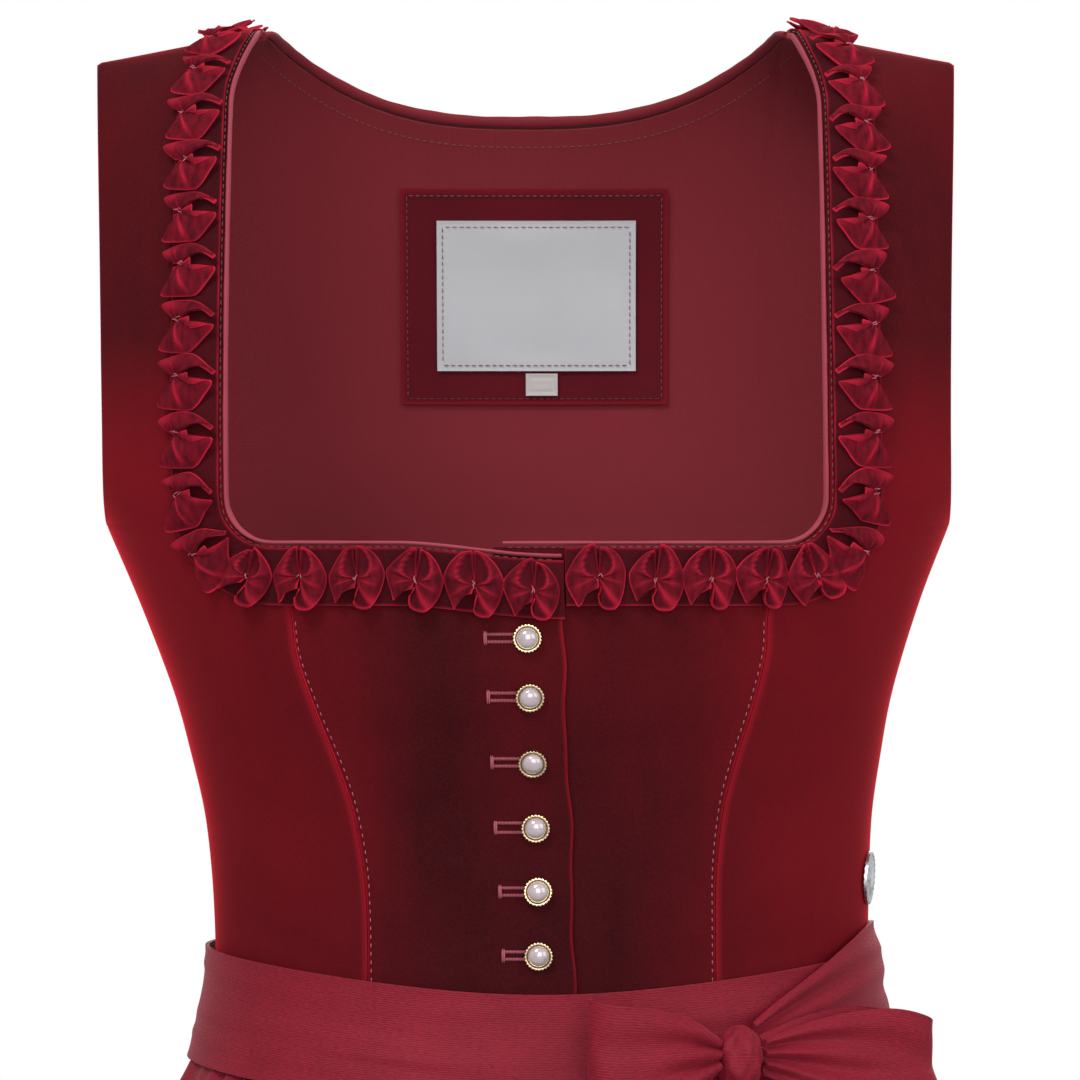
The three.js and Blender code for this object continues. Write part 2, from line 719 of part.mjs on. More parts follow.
function skirtWidth({ from, to, folds }) {
  const columns = foldColumns(from, to, folds, from / 50);
  const before = { angle: columns[0].angle * 2 - columns[1].angle, wave: 0 };
  const after = { angle: to * 2 - columns[columns.length - 2].angle, wave: 0 };
  const whole = [before, ...columns, after];
  const grid = SKIRT_ROWS.map((row) => whole.map(({ angle, wave }) => skirtPoint(angle, row, wave)));
  const normals = gridNormals(grid, away).map((row) => row.slice(1, -1));
  const face = grid.map((row) => {
    const kept = row.slice(1, -1);
    const last = kept.length - 1;
    const part = (j, next) => kept[next].clone().sub(kept[j]).setLength(SEAM / 2);
    return kept.map((p, j) => {
      if (j === 0) {
        return p.clone().add(part(0, 1));
      }
      return j === last ? p.clone().add(part(last, last - 1)) : p;
    });
  });
  return wall(moved(face, normals, SKIRTING / 2), moved(face, normals, -SKIRTING / 2));
}

// Apron: it starts under the band and stands clear of the skirt's crests
function bandTop(angle) {
  const front = Math.cos(rad(angle));
  return BAND_TOP_Z - (front > 0 ? BAND_FRONT_DIP : BAND_BACK_DIP) * front ** 2;
}

// The tie round the back stands higher where it comes forward at the wearer's left side
function tieLift(angle) {
  return TIE_LIFT * (1 - smoothstep(angle, TIE_SEAM_ANGLE, TIE_LIFT_END));
}

function bandPoint(angle, down, off) {
  const half = read(BAND, 'down', down, 'half');
  const depth = read(BAND, 'down', down, 'depth');
  return ringPoint(angle, half, depth, off, bandTop(angle) - down);
}

function apronPoint(angle, row, wave, off) {
  const z = lerp(bandTop(angle) - BAND_HEIGHT - APRON_TOP_DROP, APRON_HEM_Z, row);
  const level = lerp(BAND_TOP_Z - BAND_HEIGHT, APRON_HEM_Z, row);
  const half = read(SKIRT, 'z', level, 'half');
  const depth = read(SKIRT, 'z', level, 'depth');
  const stand = read(APRON, 'z', level, 'off') + wave * read(APRON, 'z', level, 'fold') + off;
  return ringPoint(angle, half, depth, stand, z);
}

function apronCloth() {
  const hem = 4;
  const columns = foldColumns(-APRON_EDGE_ANGLE + hem, APRON_EDGE_ANGLE - hem, APRON_FOLDS, 0.7);
  columns.unshift({ angle: -APRON_EDGE_ANGLE, wave: -0.8 });
  columns.push({ angle: APRON_EDGE_ANGLE, wave: -0.8 });
  const grid = APRON_ROWS.map((row) => (
    columns.map(({ angle, wave }) => apronPoint(angle, row, wave, 0))
  ));
  const normals = gridNormals(grid, away);
  return wall(moved(grid, normals, CREPE / 2), moved(grid, normals, -CREPE / 2));
}

function band(from, to, liftOf) {
  const angles = steps(Math.round((to - from) / 10)).map((t) => lerp(from, to, t));
  const grid = (off) => [0, 14, 27, BAND_HEIGHT].map((down) => (
    angles.map((angle) => bandPoint(angle, down - liftOf(angle), off))
  ));
  return wall(grid(0), grid(-CREPE));
}

// Bow at the wearer's left of the front
const KNOT = bandPoint(KNOT_ANGLE, bandTop(KNOT_ANGLE) - KNOT_Z, KNOT_OUT);
const OUTWARD = vec(Math.sin(rad(KNOT_ANGLE)), -Math.cos(rad(KNOT_ANGLE)), 0);

function knot() {
  const profile = [
    { radius: 0, height: -11 },
    { radius: 6, height: -10 },
    { radius: 8.4, height: -3 },
    { radius: 8.4, height: 3 },
    { radius: 6, height: 10 },
    { radius: 0, height: 11 },
  ];
  return turned(profile, 10, KNOT, vec(0, 0, 1));
}

function bowLoop({ way, droop, reach, tilt }) {
  const grid = [-1, -0.5, 0, 0.5, 1].map((across) => LOOP.map((row) => {
    const out = lerp(LOOP_START, reach, row.reach);
    const rise = across * row.half - droop * row.reach ** 2;
    const lean = tilt * Math.max(-rise - LOOP_LEAN_FROM, 0);
    const p = KNOT.clone().addScaledVector(way, out).addScaledVector(OUTWARD, row.out - 2 + lean);
    return p.add(vec(0, 0, rise));
  }));
  const normals = gridNormals(grid, () => vec(0, 0, 0));
  return wall(moved(grid, normals, CREPE / 2), moved(grid, normals, -CREPE / 2));
}

function bowTail({ top, foot, length, off }) {
  const rows = [0, 0.05, 0.14, 0.34, 0.62, 1];
  const startZ = KNOT_Z - TAIL_DROP;
  const grid = rows.map((row) => [-1, -0.34, 0.34, 1].map((across) => {
    const z = startZ - row * length;
    const angle = lerp(top, foot, row);
    const level = bandTop(angle) - BAND_HEIGHT - APRON_TOP_DROP;
    const share = Math.max((z - level) / (APRON_HEM_Z - level), 0);
    const half = lerp(TAIL_TOP_HALF, TAIL_HALF, Math.min(row * 5, 1)) + TAIL_SPREAD * row;
    const middle = apronPoint(angle, share, TAIL_WAVE, 0);
    const wide = THREE.MathUtils.radToDeg(half / Math.hypot(middle.x, middle.y));
    const lift = TAIL_LIFT * (1 - Math.min(row * 12, 1));
    const p = apronPoint(angle + across * wide, share, TAIL_WAVE, off + lift);
    return vec(p.x, p.y, z);
  }));
  const normals = gridNormals(grid, away);
  return wall(moved(grid, normals, CREPE / 2), moved(grid, normals, -CREPE / 2));
}

// End of the tie: middle below the band's top, half width and height over the band, side to knot
const TIE_END = [
  { way: 0, angle: 79, down: 11, half: 19, out: 1.3 },
  { way: 1, angle: KNOT_ANGLE + 4.9, down: bandTop(KNOT_ANGLE) - KNOT_Z - 3, half: 7, out: 6.4 },
];

function tieEnd() {
  const [side, end] = TIE_END;
  const grid = [-1, -0.33, 0.33, 1].map((across) => steps(4).map((way) => {
    const down = lerp(side.down, end.down, way) - across * lerp(side.half, end.half, way);
    return bandPoint(lerp(side.angle, end.angle, way), down, lerp(side.out, end.out, way ** 2));
  }));
  const normals = gridNormals(grid, away);
  return wall(moved(grid, normals, CREPE / 2), moved(grid, normals, -CREPE / 2));
}

// Buttons and badge
const BUTTON_RIM = [
  { radius: 0, height: 0.5 },
  { radius: 4.7, height: 0.5 },
  { radius: 5, height: 2.0 },
  { radius: 4.2, height: 2.5 },
  { radius: 3.9, height: 1.6 },
  { radius: 0, height: 1.6 },
];
const BUTTON_BOSS = [
  { radius: 0, height: 1.9 },
  { radius: 3.5, height: 1.9 },
  { radius: 2.9, height: 3.3 },
  { radius: 0, height: 4.0 },
];
const BADGE_PLATE = [
  { radius: 0, height: 0.5 },
  { radius: BADGE_RADIUS, height: 0.5 },
  { radius: BADGE_RADIUS, height: 1.4 },
  { radius: BADGE_RADIUS - 1.4, height: 2.0 },
  { radius: 0, height: 1.7 },
];

function fixedOn(angle, z, profile, sides) {
  const rise = z - UNDERARM_Z;
  const foot = onBody(FRONT, angle, rise, 0);
  const axis = onBody(FRONT, angle, rise, 1).sub(foot).normalize();
  return turned(profile, sides, foot, axis);
}

// The dress leans a little across: its waist stands to the wearer's left of its neck
const LEAN = [
  { z: -1040, x: 3.5 },
  { z: -333, x: 3.5 },
  { z: -190, x: -1.4 },
  { z: 0, x: -2.4 },
];

function leant(geometry) {
  const position = geometry.getAttribute('position');
  for (let i = 0; i < position.count; i += 1) {
    const z = position.getZ(i);
    position.setX(i, position.getX(i) + read(LEAN, 'z', z, 'x'));
  }
  return geometry;
}

const dress = new THREE.Group();
dress.name = 'dirndl';

function add(name, geometry, finish) {
  const shown = leant(geometry);
  shown.computeVertexNormals();
  const mesh = new THREE.Mesh(shown, new THREE.MeshStandardMaterial(FINISHES[finish]));
  mesh.name = name;
  dress.add(mesh);
}

function addPanel(name, panel, finish, out, thickness) {
  add(name, wall(panelGrid(panel, out), panelGrid(panel, out - thickness)), finish);
}

// Bodice front: the wearer's right half laps over the left one
const lapSink = (x) => (VELVET + SEAM) * (1 - smoothstep(x, LAP_STEP_IN, LAP_STEP_OUT));
const rightFront = frontCentrePanel((u, seam) => lerp(-seam, LAP_X, u), steps(5));
const leftColumns = [0, 17, 34, LAP_BLEND].map((x) => LAP_STEP_OUT + x);
const leftFront = frontCentrePanel(
  (x, seam) => (x > LAP_STEP_OUT ? lerp(LAP_STEP_OUT, seam, (x - LAP_STEP_OUT) / LAP_BLEND) : x),
  [UNDERLAP_X, 4, LAP_STEP_IN, ...leftColumns],
  lapSink,
);
addPanel('bodice_front_centre_right', rightFront, 'velvet', 0, VELVET);
addPanel('bodice_front_centre_left', leftFront, 'velvet', 0, VELVET);
addPanel('bodice_front_side_right', frontSidePanel(-1), 'velvet', 0, VELVET);
addPanel('bodice_front_side_left', frontSidePanel(1), 'velvet', 0, VELVET);

// Bodice back with its lining
const backs = [
  { name: 'centre', panel: backCentrePanel() },
  { name: 'side_right', panel: backSidePanel(-1) },
  { name: 'side_left', panel: backSidePanel(1) },
];
backs.forEach(({ name, panel }) => {
  addPanel(`bodice_back_${name}`, panel, 'velvet', 0, VELVET);
  addPanel(`lining_back_${name}`, panel, 'rose', -VELVET - SEAM, LINING);
});
PATCHES.forEach((row) => add(row.name, patch(row), row.finish));

// Neck trim: each half ends at the front lap and at the centre back
const rightTrim = [-TRIM_LENGTH / 2, LAP_X];
const leftTrim = [LAP_X + 2 * SEAM, TRIM_LENGTH / 2 - SEAM];
add('neck_piping', piping(), 'rose');
add('trim_ribbon_right', flatRibbon(...rightTrim), 'velvet');
add('trim_ribbon_left', flatRibbon(...leftTrim), 'velvet');
add('ruche_right', ruche(...rightTrim), 'ruche');
add('ruche_left', ruche(...leftTrim), 'ruche');

BUTTON_Z.forEach((z, k) => {
  const angle = angleAtX(FRONT, BUTTON_X, z - UNDERARM_Z);
  add(`button_rim_${k + 1}`, fixedOn(angle, z, BUTTON_RIM, BUTTON_SIDES), 'gilt');
  add(`button_boss_${k + 1}`, fixedOn(angle, z, BUTTON_BOSS, BUTTON_SIDES), 'pearl');
});
add('side_badge', fixedOn(rad(BADGE_ANGLE), BADGE_Z, BADGE_PLATE, BADGE_SIDES), 'silver');

// Skirt, apron and bow
SKIRT_WIDTHS.forEach((row) => add(row.name, skirtWidth(row), 'skirting'));
add('apron_cloth', apronCloth(), 'crepe');
add('apron_waistband', band(-88, TIE_SEAM_ANGLE, () => 0), 'crepe');
add('apron_tie_back', band(TIE_SEAM_ANGLE + SEAM, 271.7, tieLift), 'crepe');
add('apron_tie_end', tieEnd(), 'crepe');
add('bow_knot', knot(), 'crepe');
add('bow_loop_right', bowLoop({ way: vec(-0.955, -0.297, 0), droop: 2, reach: 55, tilt: 0 }), 'crepe');
add('bow_loop_left', bowLoop({ way: vec(0.89, 0.456, 0), droop: 11.5, reach: 76, tilt: 0.42 }), 'crepe');
add('bow_tail_right', bowTail({ top: 33.4, foot: 27, length: 330, off: 3.2 }), 'crepe');
add('bow_tail_left', bowTail({ top: 36.6, foot: 45, length: 345, off: 6.4 }), 'crepe');

export default dress;
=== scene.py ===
"""Looks of a dirndl: velvet bodice, frog-mouth ruche, crepe apron with a bow, gathered skirt.

Sizes are millimetres until a mesh is made; Blender gets metres. X runs to the wearer's left and
the front looks along -Y, as in the solids.
"""

from __future__ import annotations

import logging
import math
from dataclasses import dataclass, field
from enum import Enum
from typing import Any, Callable, Sequence

import bpy
import numpy as np
from mathutils import Matrix, Vector

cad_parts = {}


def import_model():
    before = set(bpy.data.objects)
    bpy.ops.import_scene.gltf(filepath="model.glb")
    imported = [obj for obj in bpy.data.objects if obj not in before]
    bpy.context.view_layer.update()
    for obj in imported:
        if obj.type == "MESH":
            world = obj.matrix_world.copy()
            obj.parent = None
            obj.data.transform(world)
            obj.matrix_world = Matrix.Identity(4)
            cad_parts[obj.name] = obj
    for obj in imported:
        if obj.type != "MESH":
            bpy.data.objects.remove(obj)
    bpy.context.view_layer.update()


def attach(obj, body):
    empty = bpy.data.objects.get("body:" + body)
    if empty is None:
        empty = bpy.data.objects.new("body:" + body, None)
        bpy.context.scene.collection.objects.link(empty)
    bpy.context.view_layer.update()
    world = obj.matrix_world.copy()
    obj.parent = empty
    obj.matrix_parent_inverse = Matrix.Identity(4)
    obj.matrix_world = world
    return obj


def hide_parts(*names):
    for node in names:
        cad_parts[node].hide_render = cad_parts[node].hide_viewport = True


LOG = logging.getLogger("dirndl")
MM = 0.001

# Sizes of the solids, repeated here because this file reads nothing but the frame. The neck's sides
# and corners and the fall of its lap are set a little closer to the photograph than in the solids
UNDERARM_Z = -182.0
SHOULDER_Z = -2.0
SHOULDER_FALL = 0.2
SHOULDER_ROUNDING = 30.0
SIDE_WAIST_Z = -345.0
FULLNESS = 2.3
DOME_DEPTH = 85.0
NECK_SIDE_X = 106.8
NECK_TOP_X = 98.5
NECK_TOP_EASE = 48.0
NECK_FRONT_RISE = -7.0
NECK_CORNER = 17.0
NECK_BACK_Z = -31.5
NECK_BACK_LIFT = 33.0
NECK_BACK_CURVE = 2.8
BACK_SIDE_X = 157.4
NECK_TOP_SHARE = 0.626
BACK_JOIN = 0.25
LOW_TOP = -0.042
LAP_X = 12.0
LAP_FALL = 4.5
LAP_FALL_FROM = -48.0
LAP_FALL_TO = 10.0
LAP_STEP_IN = 20.0
LAP_STEP_OUT = 34.0
VELVET = 1.8
LINING = 0.9
SEAM = 0.3
SEAM_RIDGE_AT = 2.6
SEAM_RIDGE_WIDTH = 1.7
SEAM_DIP_WIDTH = 0.9
TRIM_MIDDLE = 10.7
UPRIGHT_FROM = 85.0
UPRIGHT_TO = 140.0
UPRIGHT_PUFFS = 108.0
BAND_TOP_Z = -334.0
BAND_HEIGHT = 40.0
APRON_HEM_Z = -985.0
APRON_DROP = 0.9
SKIRT_HEM_Z = -1040.0
KNOT_ANGLE = 35.0
KNOT_Z = -367.0
TIE_LIFT = 9.0
TIE_SEAM_ANGLE = 80.0
TIE_LIFT_END = 140.0
KNOT_OUT = 12.5
WAIST_DEPTH = UNDERARM_Z - SIDE_WAIST_Z

Array = np.ndarray


class Held(Enum):
    """Ways in which a sheet of cloth is held."""

    HUNG = "hung"
    GATHERED = "gathered"
    FOLDED = "folded"
    STRETCHED = "stretched"


class Side(Enum):
    """Side of the wearer; the value is the sign of X."""

    RIGHT = -1
    LEFT = 1


class Table:
    """Rows of named sizes, read smoothly along their key column."""

    def __init__(self, key: Sequence[float], **columns: Sequence[float]) -> None:
        """Keeps the rows in rising order of the key.

        Args:
            key: Places of the rows.
            **columns: Values of each named column.
        """
        order = np.argsort(key)
        self.key = np.asarray(key, float)[order]
        self.columns = {name: np.asarray(v, float)[order] for name, v in columns.items()}

    def at(self, place: Any, column: str) -> Array:
        """Reads a column at one or many places.

        Args:
            place: Number or array along the key.
            column: Name of the column.

        Returns:
            Smooth values, with the end rows' values past the ends.
        """
        k, v = self.key, self.columns[column]
        place = np.asarray(place, float)
        last = len(k) - 1
        i = np.clip(np.searchsorted(k, place, side="left") - 1, 0, last - 1)
        low, high = np.maximum(i - 1, 0), np.minimum(i + 2, last)
        step = k[i + 1] - k[i]
        t = np.clip((place - k[i]) / step, 0, 1)
        start = (v[i + 1] - v[low]) / (k[i + 1] - k[low]) * step
        end = (v[high] - v[i]) / (k[high] - k[i]) * step
        a, b = v[i], v[i + 1]
        return a + t * (start + t * (3 * (b - a) - 2 * start - end + t * (2 * (a - b) + start + end)))


SECTIONS = Table(
    [-362, -333, -290, -262, -241, -209, -182],
    half=[119.5, 118.8, 121, 126, 131, 142, 153],
    front=[89.5, 89, 93, 99, 104.5, 109.5, 108],
    back=[88, 87, 87.5, 90, 93, 98, 101],
)
CHEST = Table([0, 12, 30, 60, 260], half=[153, 158, 162, 164, 167])
ARMHOLE = Table([0, 40, 100, 170, 260], x=[152.8, 152.4, 153.4, 155.4, 157.6])
FRONT_SEAM = Table(
    [-362, -312, -297, -278, -262, -245, -226, -208, -189],
    x=[61.6, 61.8, 62.7, 65.8, 70.7, 77, 82.6, 84.6, 94.3],
)
BACK_SEAM = Table([-362, -298, -248, -207, -182, -155, -128], x=[41, 47, 62, 90, 110, 131, 149])
SKIRT = Table(
    [-1040, -760, -560, -430, -376, -345],
    half=[292, 240, 188, 145, 122.5, 118.2],
    depth=[272, 217, 163, 117, 93.5, 88],
    fold=[13, 11, 8.5, 5, 1.9, 1.1],
)
APRON = Table([-985, -760, -560, -430, -374], off=[25.5, 23, 18.5, 12.3, 5.2], fold=[8, 7.5, 6, 4, 1.3])
BAND = Table([0, 14, 40], half=[122.2, 123.4, 129], depth=[92.8, 94.2, 100.4])
LEAN = Table([-1040, -333, -190, 0], x=[3.5, 3.5, -1.4, -2.4])
LOOP = Table(
    [0, 1, 2, 3, 4, 5, 6, 7, 8],
    reach=[0, 0.3, 0.65, 0.92, 1, 0.92, 0.62, 0.3, 0],
    out=[3.6, 9, 11.5, 9, 4.5, 0.5, -1.6, -0.8, 0.6],
    half=[6, 14, 20, 22, 22.5, 22, 20, 14, 7],
)


def smooth(value: Any, low: float, high: float) -> Array:
    """Smooth step from 0 at low to 1 at high."""
    t = np.clip((np.asarray(value, float) - low) / (high - low), 0, 1)
    return t * t * (3 - 2 * t)


def bell(value: Any, width: float) -> Array:
    """Bell curve of height 1 and the given half width."""
    return np.exp(-((np.asarray(value, float) / width) ** 2))


def shoulder_z(x: Any) -> Array:
    """Height of the shoulder line over a place across."""
    return SHOULDER_Z - SHOULDER_FALL * (
        np.hypot(x, SHOULDER_ROUNDING) - math.hypot(NECK_TOP_X, SHOULDER_ROUNDING)
    )


@dataclass(frozen=True)
class Face:
    """Front or back of the body that the bodice is shaped on."""

    sign: float
    depth: str
    dip: float
    fullness: float

    def dome(self) -> Table:
        """Way over the chest as shares of depth and height, by length along the cloth."""
        a = np.linspace(0, math.pi / 2, 241)
        across = np.maximum(np.cos(a), 0) ** (2 / self.fullness)
        up = np.sin(a) ** (2 / self.fullness)
        steps = np.hypot(np.diff(across) * DOME_DEPTH, np.diff(up) * (SHOULDER_Z - UNDERARM_Z))
        return Table(np.concatenate([[0], np.cumsum(steps)]), across=across, up=up)


class Body:
    """The filled-out form: points and normals on the outer face of the bodice."""

    FRONT = Face(-1, "front", 12, 1.75)
    BACK = Face(1, "back", 3, 2.2)
    DOMES = {"front": FRONT.dome(), "back": BACK.dome()}
    FRONT_TOP = float(DOMES["front"].key[-1])
    BACK_TOP = float(DOMES["back"].key[-1])

    @classmethod
    def section(cls, face: Face, rise: Array) -> tuple[Array, Array]:
        """Half width and depth of the body at a way up from the underarm."""
        z = UNDERARM_Z + np.minimum(rise, 0)
        half = np.where(rise > 0, CHEST.at(rise, "half"), SECTIONS.at(z, "half"))
        return half, SECTIONS.at(z, face.depth)

    @classmethod
    def point(cls, face: Face, angle: Array, rise: Array) -> Array:
        """Point on the body.

        Args:
            face: Front or back.
            angle: Angle from the middle of that face, in radians.
            rise: Way up along the cloth from the underarm.

        Returns:
            Points, one row each.
        """
        half, depth = cls.section(face, rise)
        across = np.abs(np.sin(angle)) / half
        along = np.abs(np.cos(angle)) / depth
        radius = (across**FULLNESS + along**FULLNESS) ** (-1 / FULLNESS)
        x = radius * np.sin(angle)
        dome = cls.DOMES[face.depth]
        high = np.maximum(rise, 0)
        y = face.sign * radius * np.cos(angle) * np.where(rise > 0, dome.at(high, "across"), 1)
        z = np.where(
            rise > 0,
            UNDERARM_Z + dome.at(high, "up") * (shoulder_z(x) - UNDERARM_Z),
            UNDERARM_Z + rise,
        )
        return np.stack([x, y, z], -1)

    @classmethod
    def normal(cls, face: Face, angle: Array, rise: Array) -> Array:
        """Outward unit normal on the body."""
        wide = cls.point(face, angle + 0.004, rise) - cls.point(face, angle - 0.004, rise)
        tall = cls.point(face, angle, rise + 0.4) - cls.point(face, angle, rise - 0.4)
        n = np.cross(wide, tall) * -face.sign
        return n / np.maximum(np.linalg.norm(n, axis=-1, keepdims=True), 1e-9)

    @classmethod
    def angle_at(cls, face: Face, x: Array, rise: Array) -> Array:
        """Angle of a place across, at a way up."""
        half, depth = cls.section(face, rise)
        share = np.clip(1 - np.abs(x / half) ** FULLNESS, 0, 1)
        return np.arctan2(x, depth * share ** (1 / FULLNESS))

    @classmethod
    def over(cls, face: Face, x: Array, rise: Array, out: Any) -> Array:
        """Point over a place across and a way up, moved out along the normal."""
        angle = cls.angle_at(face, x, rise)
        return cls.point(face, angle, rise) + cls.normal(face, angle, rise) * np.asarray(out)[..., None]

    @classmethod
    def flat(cls, x: Array, way: Array, out: Array) -> Array:
        """Point on the body from the flat: across, and the way up the front and down the back."""
        front = cls.over(cls.FRONT, x, np.minimum(way, cls.FRONT_TOP), out)
        rise = cls.FRONT_TOP + cls.BACK_TOP - np.maximum(way, cls.FRONT_TOP)
        back = cls.over(cls.BACK, x, rise, out)
        return np.where((way <= cls.FRONT_TOP)[..., None], front, back)


def neck_x(rise: Array) -> Array:
    """Neck edge of the strap, by the way up."""
    ease = smooth(rise, Body.FRONT_TOP - NECK_TOP_EASE, Body.FRONT_TOP)
    return NECK_SIDE_X - (NECK_SIDE_X - NECK_TOP_X) * ease


def back_top_rise(x: Array) -> Array:
    """Way up to the neck edge or shoulder line of the back."""
    x = np.abs(np.asarray(x, float))
    neck = NECK_BACK_Z + NECK_BACK_LIFT * (x / NECK_TOP_X) ** NECK_BACK_CURVE
    share = (neck - UNDERARM_Z) / (shoulder_z(x) - UNDERARM_Z)
    dome = Body.DOMES["back"]
    rise = np.interp(share, dome.columns["up"], dome.key)
    return np.where(x >= NECK_TOP_X, Body.BACK_TOP, rise)


def lap_fall(x: Array) -> Array:
    """How far the right front's neck edge falls towards its lap."""
    return LAP_FALL * smooth(x, LAP_FALL_FROM, LAP_FALL_TO)


def lap_sink(x: Array) -> Array:
    """How far the left front lies under the right one."""
    return (VELVET + SEAM) * (1 - smooth(x, LAP_STEP_IN, LAP_STEP_OUT))


def ribbon_at(length: Array) -> tuple[Array, Array]:
    """Middle of the flat ribbon from the neck edge, and its half width, by length along the trim."""
    upright = smooth(np.abs(length), UPRIGHT_FROM, UPRIGHT_TO)
    half = 10.0 - 1.5 * upright
    return 0.7 + half, half


class NeckEdge:
    """Closed way round the neck opening, by length along the middle of the trim."""

    def __init__(self) -> None:
        """Lays the edge out flat, once round from the centre front."""
        corner = np.radians(np.linspace(-90, 0, 16))
        top = NECK_FRONT_RISE + NECK_CORNER
        rises = np.linspace(top, Body.FRONT_TOP, 120)[1:]
        back = np.linspace(NECK_TOP_X, 0, 120)[1:]
        x = np.concatenate([
            np.linspace(0, NECK_SIDE_X - NECK_CORNER, 50)[:-1],
            NECK_SIDE_X - NECK_CORNER + NECK_CORNER * np.cos(corner),
            neck_x(rises),
            back,
        ])
        way = np.concatenate([
            np.full(49, NECK_FRONT_RISE),
            top + NECK_CORNER * np.sin(corner),
            rises,
            Body.FRONT_TOP + Body.BACK_TOP - back_top_rise(back),
        ])
        x = np.concatenate([x, -x[-2:0:-1]])
        way = np.concatenate([way, way[-2:0:-1]])
        dense = self._evened(np.stack([x, way], -1), 1.0)
        for _ in range(4):
            dense = (np.roll(dense, 1, 0) + 2 * dense + np.roll(dense, -1, 0)) / 4
        step = np.roll(dense, -1, 0) - np.roll(dense, 1, 0)
        self.tangent = step / np.linalg.norm(step, axis=1, keepdims=True)
        self.edge = dense
        middle = self._at(np.arange(len(dense)), TRIM_MIDDLE, 0.0)
        gaps = np.linalg.norm(np.roll(middle, -1, 0) - middle, axis=1)
        self.length_at = np.concatenate([[0], np.cumsum(gaps)])
        self.length = float(self.length_at[-1])
        self.shoulder = float(self.length_at[int(np.argmax(dense[:, 1] >= Body.FRONT_TOP))])

    @staticmethod
    def _evened(points: Array, step: float) -> Array:
        """Closed line with even steps."""
        closed = np.vstack([points, points[:1]])
        along = np.concatenate([[0], np.cumsum(np.linalg.norm(np.diff(closed, axis=0), axis=1))])
        places = np.arange(0, along[-1], step)
        return np.stack([np.interp(places, along, closed[:, i]) for i in range(2)], -1)

    def _at(self, index: Array, off: Any, out: Any, fall: Any = 0.0) -> Array:
        """Points at fractional places of the dense edge, let down by a fall."""
        index = np.asarray(index, float)
        count = len(self.edge)
        low = np.floor(index).astype(int) % count
        t = (index - np.floor(index))[..., None]
        edge = self.edge[low] * (1 - t) + self.edge[(low + 1) % count] * t
        tangent = self.tangent[low] * (1 - t) + self.tangent[(low + 1) % count] * t
        off = np.asarray(off, float)
        x = edge[..., 0] + off * tangent[..., 1]
        way = edge[..., 1] - off * tangent[..., 0] - fall
        return Body.flat(x, way, np.broadcast_to(out, x.shape))

    def beside(self, length: Array, off: Any, out: Any, lapped: bool = False) -> Array:
        """Points beside the neck edge.

        Args:
            length: Length along the trim from the centre front, to the wearer's left.
            off: Distance from the edge, away from the opening.
            out: Height over the cloth.
            lapped: Follow the right front's edge, which falls towards its lap.

        Returns:
            Points, one row each.
        """
        fall = lap_fall(length) if lapped else 0.0
        length = np.mod(np.asarray(length, float), self.length)
        index = np.interp(length, self.length_at, np.arange(len(self.length_at)))
        return self._at(index, off, out, fall)


def colour(code: str) -> tuple[float, float, float, float]:
    """Linear colour from an sRGB hex value such as 6b1018."""
    parts = [int(code[i : i + 2], 16) / 255 for i in (0, 2, 4)]
    linear = [c / 12.92 if c <= 0.04045 else ((c + 0.055) / 1.055) ** 2.4 for c in parts]
    return linear[0], linear[1], linear[2], 1.0


def add_node(
    tree: bpy.types.NodeTree,
    kind: str,
    values: dict[str | int, Any] | None = None,
    links: dict[str | int, bpy.types.NodeSocket] | None = None,
    **settings: Any,
) -> bpy.types.Node:
    """Adds a node.

    Args:
        tree: Node tree of the material.
        kind: Blender's name of the node type.
        values: Values of input sockets.
        links: Outputs that feed input sockets.
        **settings: Attributes of the node.

    Returns:
        The new node.
    """
    made = tree.nodes.new(kind)
    for name, value in settings.items():
        setattr(made, name, value)
    for name, value in (values or {}).items():
        made.inputs[name].default_value = value
    for name, socket in (links or {}).items():
        tree.links.new(socket, made.inputs[name])
    return made


def combined(tree: bpy.types.NodeTree, operation: str, first: bpy.types.NodeSocket,
             second: bpy.types.NodeSocket | float) -> bpy.types.NodeSocket:
    """Result of a math node on a socket and another socket or a number."""
    if isinstance(second, float):
        return add_node(tree, "ShaderNodeMath", {1: second}, {0: first}, operation=operation).outputs[0]
    return add_node(tree, "ShaderNodeMath", None, {0: first, 1: second}, operation=operation).outputs[0]


def new_material(name: str) -> tuple[bpy.types.Material, bpy.types.NodeTree, bpy.types.Node]:
    """Empty material with its output node."""
    material = bpy.data.materials.new(name)
    material.use_nodes = True
    tree = material.node_tree
    tree.nodes.clear()
    return material, tree, tree.nodes.new("ShaderNodeOutputMaterial")


